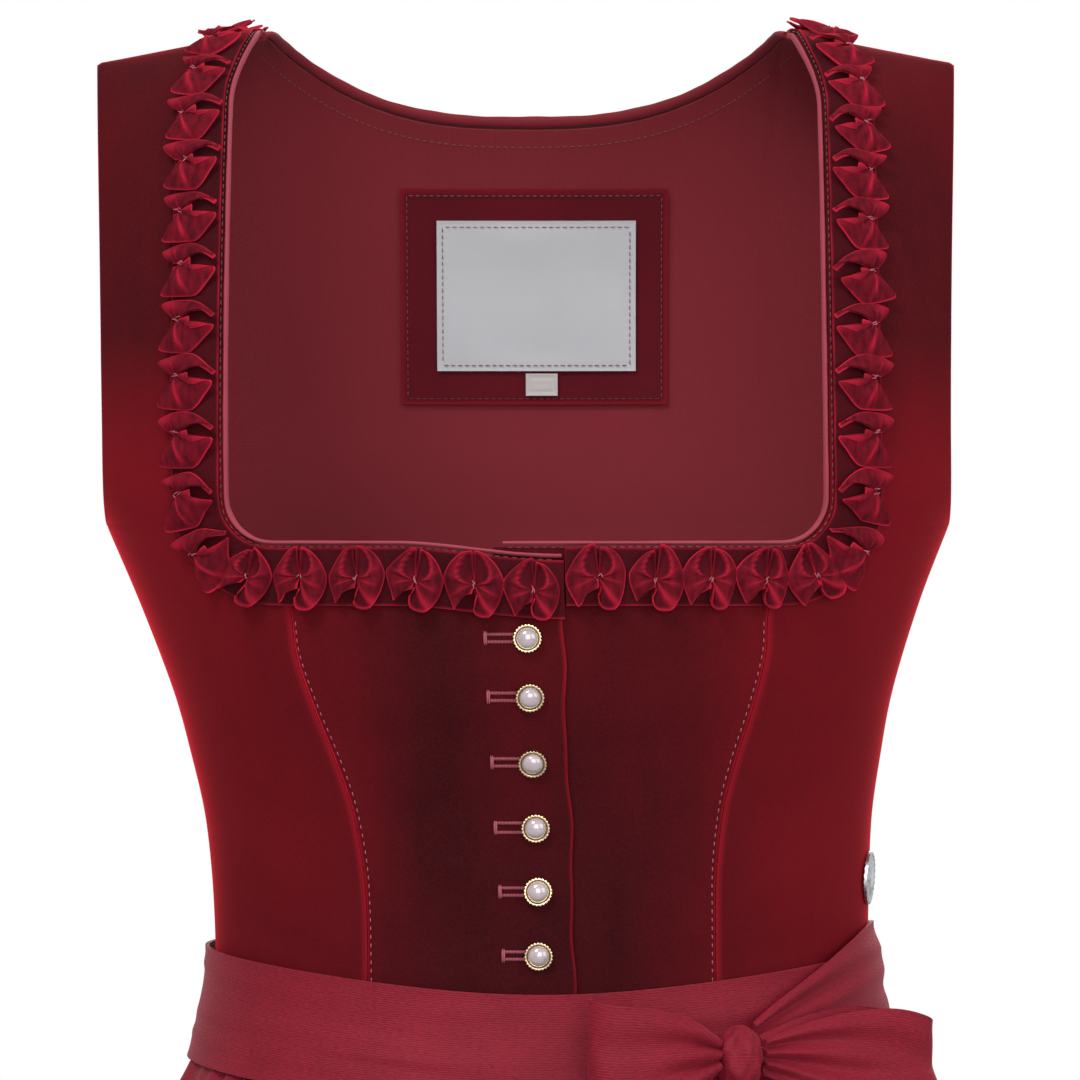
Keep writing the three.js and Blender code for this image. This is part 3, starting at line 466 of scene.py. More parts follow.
@dataclass(frozen=True)
class PileCloth:
    """Cotton velvet, woven with a cut pile: deep colour face on and bright red where the pile is seen
    from its side. Besides its own sheen, painted sheen lightens the colour towards the sides, less so
    high up at the straps; random patches make it a little patchy, and marks add a painted highlight
    on rims and edges and paint shade in the ruche's bowls."""

    name: str
    deep: str
    # Lighter colour, reached by random patches and by the painted sheen towards the sides.
    light: str
    # Colour of the painted highlight on rims and edges.
    rim: str
    # Colour of the inside face; on the ruche the same mark also paints shade in the bowls.
    back: str = "6e2b35"
    sheen: float = 0.4
    sheen_tint: str = "ff2238"
    # Strength of the painted sheen that lightens the sides.
    brushed: float = 0.75
    # Share of the painted side sheen left high up at the straps.
    strap: float = 0.1
    patch_mm: float = 46.0
    patchy: float = 0.55
    pile_mm: float = 0.9
    pile_height: float = 0.25

    def make(self) -> bpy.types.Material:
        """Builds the material."""
        material, tree, output = new_material(self.name)
        place = add_node(tree, "ShaderNodeTexCoord").outputs["Object"]
        stroked = add_node(tree, "ShaderNodeMapping", {"Scale": (1.0, 1.0, 0.35)}, {"Vector": place})
        patches = add_node(tree, "ShaderNodeTexNoise", {"Scale": 1 / (self.patch_mm * MM), "Detail": 3.0},
                           {"Vector": stroked.outputs[0]})
        fine = add_node(tree, "ShaderNodeTexNoise", {"Scale": 1 / (self.pile_mm * MM), "Detail": 2.0},
                        {"Vector": place})
        nap = combined(tree, "MULTIPLY", fine.outputs["Fac"], 0.3)
        patched = combined(tree, "MULTIPLY", patches.outputs["Fac"], self.patchy)
        uneven = combined(tree, "ADD", patched, nap)
        where = add_node(tree, "ShaderNodeSeparateXYZ", None, {"Vector": place})
        # Painted sheen: the colour lightens with the distance from the middle across, and less so high up.
        across = add_node(tree, "ShaderNodeMath", None, {0: where.outputs["X"]}, operation="ABSOLUTE")
        sides = add_node(tree, "ShaderNodeMapRange",
                         {"From Min": 0.04, "From Max": 0.15, "To Max": self.brushed},
                         {"Value": across.outputs[0]})
        low = add_node(tree, "ShaderNodeMapRange",
                       {"From Min": -0.165, "From Max": -0.115, "To Min": 1.0, "To Max": self.strap},
                       {"Value": where.outputs["Z"]})
        # Painted side sheen, added to the random patches.
        painted_side_sheen = combined(tree, "MULTIPLY", sides.outputs[0], low.outputs[0])
        whole = combined(tree, "ADD", uneven, painted_side_sheen)
        spread = add_node(tree, "ShaderNodeMapRange",
                          {"From Min": self.patchy * 0.3 + 0.1, "From Max": self.patchy * 0.7 + 0.75},
                          {"Value": whole})
        face = add_node(tree, "ShaderNodeMix", {"A": colour(self.deep), "B": colour(self.light)},
                        {"Factor": spread.outputs[0]}, data_type="RGBA")
        # Painted highlight on rims and edges: the mark mixes in the rim colour.
        painted_highlight = add_node(tree, "ShaderNodeAttribute", attribute_name="painted_highlight")
        highlighted = add_node(tree, "ShaderNodeMix", {"B": colour(self.rim)},
                          {"Factor": painted_highlight.outputs["Fac"], "A": face.outputs["Result"]}, data_type="RGBA")
        # Inside face in the back colour; on the ruche this mark is painted shade in the bowls.
        inside = add_node(tree, "ShaderNodeAttribute", attribute_name="inside")
        shown = add_node(tree, "ShaderNodeMix", {"B": colour(self.back)},
                         {"Factor": inside.outputs["Fac"], "A": highlighted.outputs["Result"]}, data_type="RGBA")
        bump = add_node(tree, "ShaderNodeBump", {"Strength": self.pile_height, "Distance": 0.4 * MM},
                        {"Height": fine.outputs["Fac"]})
        cloth = add_node(tree, "ShaderNodeBsdfPrincipled",
                         {"Roughness": 0.9, "Specular IOR Level": 0.05, "Sheen Weight": self.sheen,
                          "Sheen Roughness": 0.28, "Sheen Tint": colour(self.sheen_tint)},
                         {"Base Color": shown.outputs["Result"], "Normal": bump.outputs["Normal"]})
        tree.links.new(cloth.outputs[0], output.inputs[0])
        return material


@dataclass(frozen=True)
class WovenCloth:
    """Plain or twill weave in cotton, satin or tape: a fine grid of threads with soft uneven dye."""

    name: str
    base: str
    thread: str
    thread_mm: float = 0.55
    roughness: float = 0.75
    sheen: float = 0.25
    sheen_tint: str = "d8848f"
    height: float = 0.35
    slant: float = 0.0

    def make(self) -> bpy.types.Material:
        """Builds the material."""
        material, tree, output = new_material(self.name)
        uv = add_node(tree, "ShaderNodeUVMap", uv_map="Cloth").outputs[0]
        turned = add_node(tree, "ShaderNodeMapping", {"Rotation": (0.0, 0.0, self.slant)}, {"Vector": uv})
        bands = 0.314 / self.thread_mm
        waves = [
            add_node(tree, "ShaderNodeTexWave", {"Scale": bands, "Distortion": 0.35, "Detail": 1.0},
                     {"Vector": turned.outputs[0]}, bands_direction=way)
            for way in ("X", "Y")
        ]
        weave = combined(tree, "MULTIPLY", waves[0].outputs["Fac"], waves[1].outputs["Fac"])
        dye = add_node(tree, "ShaderNodeTexNoise", {"Scale": 0.06, "Detail": 3.0}, {"Vector": uv})
        blend = combined(tree, "MULTIPLY", combined(tree, "MULTIPLY", weave, 0.5), dye.outputs["Fac"])
        tone = add_node(tree, "ShaderNodeMix", {"A": colour(self.base), "B": colour(self.thread)},
                        {"Factor": blend}, data_type="RGBA")
        bump = add_node(tree, "ShaderNodeBump", {"Strength": self.height, "Distance": 0.12 * MM},
                        {"Height": weave})
        cloth = add_node(tree, "ShaderNodeBsdfPrincipled",
                         {"Roughness": self.roughness, "Specular IOR Level": 0.06, "Sheen Weight": self.sheen,
                          "Sheen Roughness": 0.5, "Sheen Tint": colour(self.sheen_tint)},
                         {"Base Color": tone.outputs["Result"], "Normal": bump.outputs["Normal"]})
        tree.links.new(cloth.outputs[0], output.inputs[0])
        return material


@dataclass(frozen=True)
class CrinkledCrepe:
    """Viscose crepe with a dry silky shine: over-twisted threads crinkle it in fine ribs across the
    band, so it looks grainy, and lighter on the rims of its folds."""

    name: str
    deep: str
    light: str
    rib_mm: float = 0.8

    def make(self) -> bpy.types.Material:
        """Builds the material."""
        material, tree, output = new_material(self.name)
        uv = add_node(tree, "ShaderNodeUVMap", uv_map="Cloth").outputs[0]
        ribs = add_node(tree, "ShaderNodeTexWave",
                        {"Scale": 0.314 / self.rib_mm, "Distortion": 2.2, "Detail": 2.0, "Detail Scale": 0.6},
                        {"Vector": uv}, bands_direction="Y")
        long = add_node(tree, "ShaderNodeMapping", {"Scale": (0.3, 1.0, 1.0)}, {"Vector": uv})
        grain = add_node(tree, "ShaderNodeTexNoise", {"Scale": 1.6, "Detail": 3.0},
                         {"Vector": long.outputs[0]})
        soft = add_node(tree, "ShaderNodeTexNoise", {"Scale": 0.04, "Detail": 2.0}, {"Vector": uv})
        dyed = combined(tree, "MULTIPLY", soft.outputs["Fac"], 0.4)
        ribbed = combined(tree, "MULTIPLY", ribs.outputs["Fac"], 0.35)
        crinkle = combined(tree, "ADD", ribbed, grain.outputs["Fac"])
        spread = add_node(tree, "ShaderNodeMapRange", {"From Min": 0.5, "From Max": 1.3},
                          {"Value": combined(tree, "ADD", crinkle, dyed)})
        tone = add_node(tree, "ShaderNodeMix", {"A": colour(self.deep), "B": colour(self.light)},
                        {"Factor": spread.outputs[0]}, data_type="RGBA")
        bump = add_node(tree, "ShaderNodeBump", {"Strength": 0.6, "Distance": 0.25 * MM},
                        {"Height": crinkle})
        cloth = add_node(tree, "ShaderNodeBsdfPrincipled",
                         {"Roughness": 0.6, "Specular IOR Level": 0.08, "Sheen Weight": 0.12,
                          "Sheen Roughness": 0.4, "Sheen Tint": colour("ff6d80")},
                         {"Base Color": tone.outputs["Result"], "Normal": bump.outputs["Normal"]})
        tree.links.new(cloth.outputs[0], output.inputs[0])
        return material


@dataclass(frozen=True)
class HardFinish:
    """Metal, pearl or sewing thread: one hue with fine uneven wear."""

    name: str
    base: str
    worn: str
    grain_mm: float
    roughness: float
    metallic: float = 0.0
    coat: float = 0.0
    sheen: float = 0.0

    def make(self) -> bpy.types.Material:
        """Builds the material."""
        material, tree, output = new_material(self.name)
        place = add_node(tree, "ShaderNodeTexCoord").outputs["Object"]
        grain = add_node(tree, "ShaderNodeTexNoise", {"Scale": 1 / (self.grain_mm * MM), "Detail": 4.0},
                         {"Vector": place})
        tone = add_node(tree, "ShaderNodeMix", {"A": colour(self.base), "B": colour(self.worn)},
                        {"Factor": grain.outputs["Fac"]}, data_type="RGBA")
        bump = add_node(tree, "ShaderNodeBump", {"Strength": 0.12, "Distance": 0.1 * MM},
                        {"Height": grain.outputs["Fac"]})
        body = add_node(tree, "ShaderNodeBsdfPrincipled",
                        {"Roughness": self.roughness, "Metallic": self.metallic, "Coat Weight": self.coat,
                         "Coat Roughness": 0.08, "Sheen Weight": self.sheen},
                        {"Base Color": tone.outputs["Result"], "Normal": bump.outputs["Normal"]})
        tree.links.new(body.outputs[0], output.inputs[0])
        return material


class Wardrobe:
    """All finishes of the dress, made once."""

    def __init__(self) -> None:
        """Makes each finish, the cloths first."""
        self.velvet = PileCloth("wine_velvet", "1c0406", "580710", "86101e", back="3c0d12").make()
        # The ribbon's back colour is also the painted shade in the ruche's bowls.
        self.ribbon = PileCloth("velvet_ribbon", "2c040b", "620a18", "a81830", back="2c040b", sheen=0.5,
                                brushed=0.2, patch_mm=2.4, patchy=1.7).make()
        # Lighter copy of the wine velvet for the patch: painted light that lifts the shade inside the back.
        self.patch = PileCloth("patch_velvet_lit_copy", "3e0b12", "540d17", "86101e", back="3c0d12",
                               brushed=0.2).make()
        self.flat_ribbon = PileCloth("flat_velvet_ribbon", "1c0306", "4a0812", "a81830", back="1c0306",
                                     sheen=0.4, brushed=0.1).make()
        self.lining = WovenCloth("rose_lining", "59191f", "6a2028", thread_mm=0.5, sheen=0.08).make()
        self.piping = WovenCloth("rose_piping", "6e2a34", "803842", thread_mm=0.45, sheen=0.1,
                                 slant=0.8).make()
        self.label = WovenCloth("grey_label_weave", "8f8f92", "a9a9ac", thread_mm=0.4, sheen=0.05,
                                sheen_tint="ffffff").make()
        self.tag = WovenCloth("white_tape", "8f8b8a", "a5a2a1", thread_mm=0.35, sheen=0.05,
                              sheen_tint="ffffff").make()
        self.crepe = CrinkledCrepe("wine_crepe", "480812", "6e1322").make()
        self.skirting = WovenCloth("rose_skirting", "420e18", "541622", thread_mm=0.7, sheen=0.1).make()
        self.gilt = HardFinish("pale_gilt", "c9b697", "93805f", 0.6, 0.3, metallic=1.0).make()
        self.pearl = HardFinish("pink_pearl", "75696d", "8d8286", 3.0, 0.18, coat=0.8).make()
        self.silver = HardFinish("engraved_silver", "c4c5c9", "8e8f94", 0.8, 0.34, metallic=1.0).make()
        self.rose_thread = HardFinish("rose_thread", "5e1524", "7c2a3a", 0.4, 0.6, sheen=0.1).make()
        self.pale_thread = HardFinish("pale_thread", "66202c", "7c3340", 0.4, 0.55, sheen=0.1).make()
        self.dark_thread = HardFinish("wine_thread", "36090f", "4c141c", 0.4, 0.6, sheen=0.1).make()


def mesh_object(
    name: str,
    points: Array,
    faces: Sequence[Sequence[int]] | Array,
    material: bpy.types.Material,
    uv: Array | None = None,
    marks: dict[str, Array] | None = None,
    sharp: float = 50.0,
) -> bpy.types.Object:
    """Makes a mesh object from points in millimetres.

    Args:
        name: Piece name.
        points: Points, one row each.
        faces: Corner indices of each face.
        material: Finish of the piece.
        uv: Place on the flat cloth for each point, in millimetres.
        marks: Named values for each point.
        sharp: Angle in degrees past which an edge stays sharp.

    Returns:
        The new object, selected and active.
    """
    placed = np.array(points, float)
    placed[:, 0] += LEAN.at(placed[:, 2], "x")
    mesh = bpy.data.meshes.new(name)
    mesh.from_pydata((placed * MM).tolist(), [], faces if isinstance(faces, list) else faces.tolist())
    mesh.materials.append(material)
    corners = np.empty(len(mesh.loops), dtype=np.int32)
    mesh.loops.foreach_get("vertex_index", corners)
    flat = np.zeros((len(placed), 2)) if uv is None else uv
    layer = mesh.uv_layers.new(name="Cloth")
    layer.data.foreach_set("uv", flat[corners].astype(np.float32).ravel())
    for key, values in (marks or {}).items():
        attribute = mesh.attributes.new(key, "FLOAT", "POINT")
        attribute.data.foreach_set("value", np.asarray(values, np.float32))
    made = bpy.data.objects.new(name, mesh)
    bpy.context.scene.collection.objects.link(made)
    bpy.ops.object.select_all(action="DESELECT")
    made.select_set(True)
    bpy.context.view_layer.objects.active = made
    bpy.ops.object.shade_smooth_by_angle(angle=math.radians(sharp))
    return made


def outward_normals() -> None:
    """Turns the faces of the active piece outwards."""
    bpy.ops.object.mode_set(mode="EDIT")
    bpy.ops.mesh.select_all(action="SELECT")
    bpy.ops.mesh.normals_make_consistent(inside=False)
    bpy.ops.object.mode_set(mode="OBJECT")


def grid_normals(grid: Array, outward: bool) -> Array:
    """Unit normals of a grid of points from its neighbours.

    Args:
        grid: Rows and columns of points.
        outward: Turn the normals away from the dress's own axis.

    Returns:
        Normals of the same shape.
    """
    rows = np.gradient(grid, axis=0)
    columns = np.gradient(grid, axis=1)
    normal = np.cross(columns, rows)
    normal /= np.maximum(np.linalg.norm(normal, axis=-1, keepdims=True), 1e-9)
    if outward:
        axis = grid * np.array([1.0, 1.0, 0.0])
        if float((normal * axis).sum()) < 0:
            normal = -normal
    return normal


def wall_faces(rows: int, columns: int) -> Array:
    """Faces of a closed wall between a grid and the copy behind it: face, back and rim.

    Args:
        rows: Rows of the grid.
        columns: Columns of the grid.

    Returns:
        Corner indices; the copy's points follow the grid's.
    """
    count = rows * columns
    index = np.arange(count).reshape(rows, columns)
    a, b, c, d = index[:-1, :-1], index[:-1, 1:], index[1:, 1:], index[1:, :-1]
    front = np.stack([a, b, c, d], -1).reshape(-1, 4)
    loop = np.concatenate([index[0, :-1], index[:-1, -1], index[-1, :0:-1], index[:0:-1, 0]])
    after = np.roll(loop, -1)
    rim = np.stack([loop, loop + count, after + count, after], -1)
    return np.concatenate([front, front[:, ::-1] + count, rim])


def shell(
    name: str,
    grid: Array,
    thickness: float,
    material: bpy.types.Material,
    normals: Array | None = None,
    painted_highlight: Array | None = None,
    outward: bool = True,
) -> bpy.types.Object:
    """Closed wall of cloth on a grid of points, its face outwards and its back inside.

    Args:
        name: Piece name.
        grid: Rows and columns of points on the face.
        thickness: Thickness of the cloth.
        material: Finish.
        normals: Normals of the face, or None to take them from the grid.
        painted_highlight: Strength of the painted highlight at each point, from 0 to 1.
        outward: Turn the normals away from the dress's axis.

    Returns:
        The piece.
    """
    normals = grid_normals(grid, outward) if normals is None else normals
    rows, columns = grid.shape[:2]
    inner = grid - normals * thickness
    points = np.concatenate([grid.reshape(-1, 3), inner.reshape(-1, 3)])
    along = np.concatenate([[0], np.cumsum(np.linalg.norm(np.diff(grid.mean(0), axis=0), axis=1))])
    down = np.concatenate([[0], np.cumsum(np.linalg.norm(np.diff(grid, axis=0), axis=2).mean(1))])
    uv = np.stack(np.meshgrid(along, down), -1).reshape(-1, 2)
    count = rows * columns
    faces = wall_faces(rows, columns)
    face_normal = np.cross(grid[0, 1] - grid[0, 0], grid[1, 0] - grid[0, 0])
    if float((face_normal * normals[0, 0]).sum()) < 0:
        faces = faces[:, ::-1]
    # Painted highlight on both faces; the inside mark picks out the back face.
    mark = np.zeros(count) if painted_highlight is None else np.clip(painted_highlight, 0, 1).ravel()
    marks = {
        "painted_highlight": np.concatenate([mark, mark]),
        "inside": np.concatenate([np.zeros(count), np.ones(count)]),
    }
    return mesh_object(name, points, faces, material, np.concatenate([uv, uv]), marks, sharp=65.0)


def ride(piece: bpy.types.Object, slot: str, *nodes: str) -> None:
    """Fixes a piece to the dress and hides the parts of the model that it stands for."""
    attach(piece, "root")
    if nodes:
        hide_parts(*nodes)
    LOG.info("%s: %d faces", piece.name, len(piece.data.polygons))


def flat_area(piece: bpy.types.Object) -> float:
    """Area of one face of a closed sheet, in square metres."""
    areas = np.empty(len(piece.data.polygons), np.float32)
    piece.data.polygons.foreach_get("area", areas)
    return float(areas.sum()) / 2


def declare(piece: bpy.types.Object, flat: tuple[float, float]) -> None:
    """Logs a sheet with the width and length of its cut, in metres, and its cloth area.

    Args:
        piece: The cloth.
        flat: Width and length of the cut's smallest rectangle.
    """
    area = flat_area(piece)
    LOG.info("%s: cut %.3f x %.3f m, cloth %.4f m2", piece.name, flat[0], flat[1], area)


def creases(x: Array, z: Array, rows: Sequence[tuple[float, ...]]) -> Array:
    """Soft troughs and ridges along listed lines.

    Args:
        x: Places across.
        z: Heights.
        rows: For each line: x and z of both ends, height (below 0 for a trough) and half width.

    Returns:
        Height of the cloth over its plain form.
    """
    total = np.zeros(np.broadcast(x, z).shape)
    for x0, z0, x1, z1, height, width in rows:
        dx, dz = x1 - x0, z1 - z0
        size = dx * dx + dz * dz
        t = ((x - x0) * dx + (z - z0) * dz) / size
        near = np.clip(t, 0, 1)
        gap = np.hypot(x - x0 - near * dx, z - z0 - near * dz)
        total += height * bell(gap, width) * np.sin(np.pi * np.clip(0.12 + 0.76 * t, 0, 1))
    return total


def seam_relief(distance: Array, ridge: float, dip: float) -> Array:
    """Soft ridge of the cloth beside a seam, and the dip of the seam itself."""
    return ridge * bell(distance - SEAM_RIDGE_AT, SEAM_RIDGE_WIDTH) - dip * bell(distance, SEAM_DIP_WIDTH)


@dataclass
class Panel:
    """One panel of the bodice: rows from the waist up, columns across."""

    face: Face
    rows: Array
    columns: Array
    edges: Callable[[Array], tuple[Array, Array]]
    rise: Callable[[Array, Array, Array], Array]
    wrinkles: Sequence[tuple[float, ...]] = ()
    seam_low: float = 0.3
    seam_high: float = 0.3
    sink: Callable[[Array], Array] | None = None
    across: Array = field(default_factory=lambda: np.zeros(0), init=False)

    def grid(self, out: float, plain: bool = False) -> tuple[Array, Array]:
        """Points and normals of the panel's face.

        Args:
            out: Distance from the face of the velvet.
            plain: Leave the ridges and wrinkles out.

        Returns:
            Points and unit normals.
        """
        row = self.rows[:, None] + 0 * self.columns[None, :]
        u = self.columns[None, :] + 0 * row
        low, high = self.edges(self.rows)
        angle = low[:, None] + (high - low)[:, None] * u
        rise = self.rise(row, angle, u)
        points = Body.point(self.face, angle, rise)
        normals = Body.normal(self.face, angle, rise)
        gaps = np.linalg.norm(np.diff(points, axis=1), axis=2)
        across = np.concatenate([np.zeros((len(self.rows), 1)), np.cumsum(gaps, 1)], 1)
        height = np.full(angle.shape, out)
        if not plain:
            for distance, ridge in ((across, self.seam_low), (across[:, -1:] - across, self.seam_high)):
                height = height + seam_relief(distance, ridge, 0.7)
            height = height + creases(points[..., 0], points[..., 2], self.wrinkles)
        if self.sink is not None:
            height = height - self.sink(points[..., 0])
        self.across = across
        return points + normals * height[..., None], normals


@dataclass
class BackPanel(Panel):
    """Back centre panel: its edges are places across, and its columns even shares between them."""

    def grid(self, out: float, plain: bool = False) -> tuple[Array, Array]:
        """Points and normals of the panel's face.

        Args:
            out: Distance from the face of the velvet.
            plain: Leave the ridges and wrinkles out.

        Returns:
            Points and unit normals.
        """
        shares = (2 * self.columns - 1)[None, :]
        row = self.rows[:, None] + 0 * shares
        half = self.edges(self.rows)[1][:, None]
        x = shares * half
        top = back_top_rise(shares * BACK_SIDE_X) - SEAM / 2
        angle = Body.angle_at(Body.BACK, x, level_rise(row, top))
        way = self.rise(row, angle, self.columns[None, :] + 0 * row)
        points, normals = Body.point(Body.BACK, angle, way), Body.normal(Body.BACK, angle, way)
        height = np.full(angle.shape, float(out))
        if not plain:
            height = height + seam_relief(half - np.abs(x), 0.35, 0.6)
            height = height + creases(points[..., 0], points[..., 2], self.wrinkles)
        return points + normals * height[..., None], normals


def waist_rise(face: Face) -> Callable[[Array, Array, Array], Array]:
    """Way up of a row, counted from the waist line below the arms."""

    def rise(row: Array, angle: Array, _u: Array) -> Array:
        """Way up at a row and an angle."""
        waist = SIDE_WAIST_Z - face.dip * np.cos(angle) ** 2
        return np.where(row > 0, row, row * (UNDERARM_Z - waist))

    return rise


def level_rise(row: Array, high: Any = 1.0) -> Array:
    """Way up of a row at the side; above the underarm a row counts as a share of the height."""
    return np.where(row > 0, row * high, row * WAIST_DEPTH)


def arm_angle(face: Face, row: Array) -> Array:
    """Angle of the side seam, and of the armhole above it."""
    side = math.pi / 2 - SEAM / 240
    rise = np.maximum(row, 0)
    edge = Body.angle_at(face, ARMHOLE.at(rise, "x"), rise)
    return np.where(row <= 0, side, np.minimum(edge, side))


FRONT_WRINKLES = (
    (-58, -330, -8, -322, -0.45, 6), (-50, -300, -6, -306, 0.35, 5), (-56, -284, -4, -276, -0.4, 6),
    (-60, -258, -8, -252, -0.35, 5), (-44, -238, -2, -231, 0.35, 5), (-70, -226, -30, -218, -0.3, 5),
    (22, -262, 58, -254, -0.35, 5), (18, -300, 54, -308, -0.4, 6), (24, -330, 56, -326, 0.35, 5),
    (30, -232, 72, -226, -0.3, 5), (20, -282, 60, -276, 0.3, 5),
)
SIDE_WRINKLES = (
    (-66, -338, -110, -322, -0.6, 6), (-70, -316, -112, -296, 0.45, 7), (-74, -290, -112, -276, -0.5, 7),
    (-88, -262, -120, -240, 0.4, 7), (-100, -226, -132, -206, -0.4, 7), (-112, -160, -146, -120, 0.3, 8),
    (66, -336, 108, -326, -0.55, 6), (70, -312, 112, -300, 0.45, 7), (76, -286, 114, -268, -0.5, 7),
    (86, -256, 122, -236, 0.4, 7), (104, -222, 136, -200, -0.4, 7), (114, -150, 146, -110, 0.3, 8),
)
BACK_WRINKLES = (
    (-40, -330, 30, -322, -0.6, 7), (-30, -300, 44, -306, 0.5, 7), (-60, -270, 10, -262, -0.5, 8),
    (-20, -240, 70, -226, 0.4, 9), (-110, -190, -60, -150, -0.4, 9), (60, -140, 120, -170, -0.4, 9),
    (-90, -80, -30, -60, 0.3, 9), (30, -70, 96, -90, 0.3, 9), (-110, -320, -60, -300, 0.5, 7),
    (56, -316, 108, -300, -0.5, 7),
)


@dataclass
class Bodice:
    """Velvet panels and the rose lining of the back."""

    looks: Wardrobe
    edge: NeckEdge

    def front_side(self, side: Side) -> Panel:
        """Front side panel that runs up into its shoulder strap."""
        top = Body.FRONT_TOP - SEAM / 2

        def edges(row: Array) -> tuple[Array, Array]:
            """Angles of the inner and outer edge of a row."""
            rise = level_rise(row)
            corner_top = NECK_FRONT_RISE + NECK_CORNER
            seam = FRONT_SEAM.at(UNDERARM_Z + rise, "x") + SEAM / 2
            curve = NECK_SIDE_X - NECK_CORNER + np.sqrt(
                np.maximum(NECK_CORNER**2 - (rise - corner_top) ** 2, 0))
            x = np.where(row <= LOW_TOP, seam, np.where(rise < corner_top, curve, neck_x(rise)))
            return side.value * Body.angle_at(Body.FRONT, x, rise), side.value * arm_angle(Body.FRONT, row)

        rows = np.concatenate([np.linspace(-1, LOW_TOP, 80), np.linspace(-0.038, -0.004, 8),
                               np.linspace(1, 12, 10), np.linspace(14, top, 95)])
        return Panel(Body.FRONT, rows, np.linspace(0, 1, 46), edges, waist_rise(Body.FRONT),
                     SIDE_WRINKLES, 0.25, 0.1)

    def front_centre(self, side: Side) -> Panel:
        """Front centre panel: the right one laps over the left one."""

        def edges(row: Array) -> tuple[Array, Array]:
            """Angles of both edges of a row, the lapping edge a little wavy."""
            rise = level_rise(row)
            seam = FRONT_SEAM.at(UNDERARM_Z + rise, "x") - SEAM / 2
            seam_angle = Body.angle_at(Body.FRONT, seam, rise)
            if side is Side.RIGHT:
                wave = 0.5 * np.sin(rise / 9.0) + 0.3 * np.sin(rise / 4.1)
                return Body.angle_at(Body.FRONT, LAP_X - 0.4 + wave, rise), -seam_angle
            return seam_angle, Body.angle_at(Body.FRONT, np.full(rise.shape, -LAP_X), rise)

        def falling(row: Array, angle: Array, u: Array) -> Array:
            """Way up of a row of the right panel, whose top falls towards the lap."""
            level = waist_rise(Body.FRONT)(row, angle, u)
            fall = lap_fall(Body.point(Body.FRONT, angle, level)[..., 0])
            return level - fall * smooth(row, -0.35, LOW_TOP)

        shape = (Body.FRONT, np.linspace(-1, LOW_TOP, 84), np.linspace(0, 1, 56), edges)
        if side is Side.RIGHT:
            return Panel(*shape, falling, FRONT_WRINKLES, 0.15, 0.6)
        return Panel(*shape, waist_rise(Body.FRONT), FRONT_WRINKLES, 0.6, 0.0, lap_sink)

    def back_centre(self, dense: bool = True) -> Panel:
        """Back centre panel, up to the neck and both shoulders."""

        def edges(row: Array) -> tuple[Array, Array]:
            """Places across of both edges of a row."""
            seam = BACK_SEAM.at(UNDERARM_Z + level_rise(row, Body.BACK_TOP), "x")
            x = np.where(row <= BACK_JOIN, seam, ARMHOLE.at(row * Body.BACK_TOP, "x")) - SEAM / 2
            return -x, x

        def rise(row: Array, angle: Array, u: Array) -> Array:
            """Way up at a row, which ends on the neck edge and the shoulders."""
            high = row * (back_top_rise((2 * u - 1) * BACK_SIDE_X) - SEAM / 2)
            return np.where(row > 0, high, waist_rise(Body.BACK)(row, angle, u))

        neck = NECK_TOP_SHARE
        shares = np.concatenate([np.linspace(-1, -neck, 14)[:-1], np.linspace(-neck, neck, 61),
                                 np.linspace(neck, 1, 14)[1:]])
        count = 50 if dense else 30
        rows = np.concatenate([np.linspace(-1, 0, count), np.linspace(0.012, 1, count + 20)])
        return BackPanel(Body.BACK, rows, (shares + 1) / 2, edges, rise, BACK_WRINKLES)

    def back_side(self, side: Side) -> Panel:
        """Back side panel, which runs out to a point in the armhole."""

        def edges(row: Array) -> tuple[Array, Array]:
            """Angles of the seam and of the outer edge of a row."""
            rise = level_rise(row, Body.BACK_TOP)
            x = BACK_SEAM.at(UNDERARM_Z + rise, "x") + SEAM / 2
            inner = Body.angle_at(Body.BACK, x, rise)
            outer = arm_angle(Body.BACK, np.where(row > 0, rise, row))
            return side.value * inner, side.value * outer

        def rise(row: Array, angle: Array, u: Array) -> Array:
            """Way up at a row and an angle."""
            return np.where(row > 0, row * Body.BACK_TOP, waist_rise(Body.BACK)(row, angle, u))

        rows = np.concatenate([np.linspace(-1, 0, 56), np.linspace(0.006, BACK_JOIN, 24)])
        return Panel(Body.BACK, rows, np.linspace(0, 1, 36), edges, rise, BACK_WRINKLES, 0.25, 0.1)

    def build(self) -> None:
        """Makes and dresses every panel of velvet and lining."""
        backs = (
            ("back_side_right", self.back_side(Side.RIGHT), (0.12, 0.22)),
            ("back_side_left", self.back_side(Side.LEFT), (0.12, 0.22)),
        )
        for name, panel, flat in (
            ("front_side_right", self.front_side(Side.RIGHT), (0.12, 0.37)),
            ("front_side_left", self.front_side(Side.LEFT), (0.12, 0.37)),
            ("front_centre_right", self.front_centre(Side.RIGHT), (0.12, 0.17)),
            ("front_centre_left", self.front_centre(Side.LEFT), (0.11, 0.17)),
            ("back_centre", self.back_centre(), (0.34, 0.37)),
            *backs,
        ):
            grid, normals = panel.grid(0.0)
            painted_highlight = None
            if name.startswith("front_"):
                far = panel.across[:, -1:] - panel.across
                edge, seam = (panel.across, far) if name == "front_centre_right" else (far, panel.across)
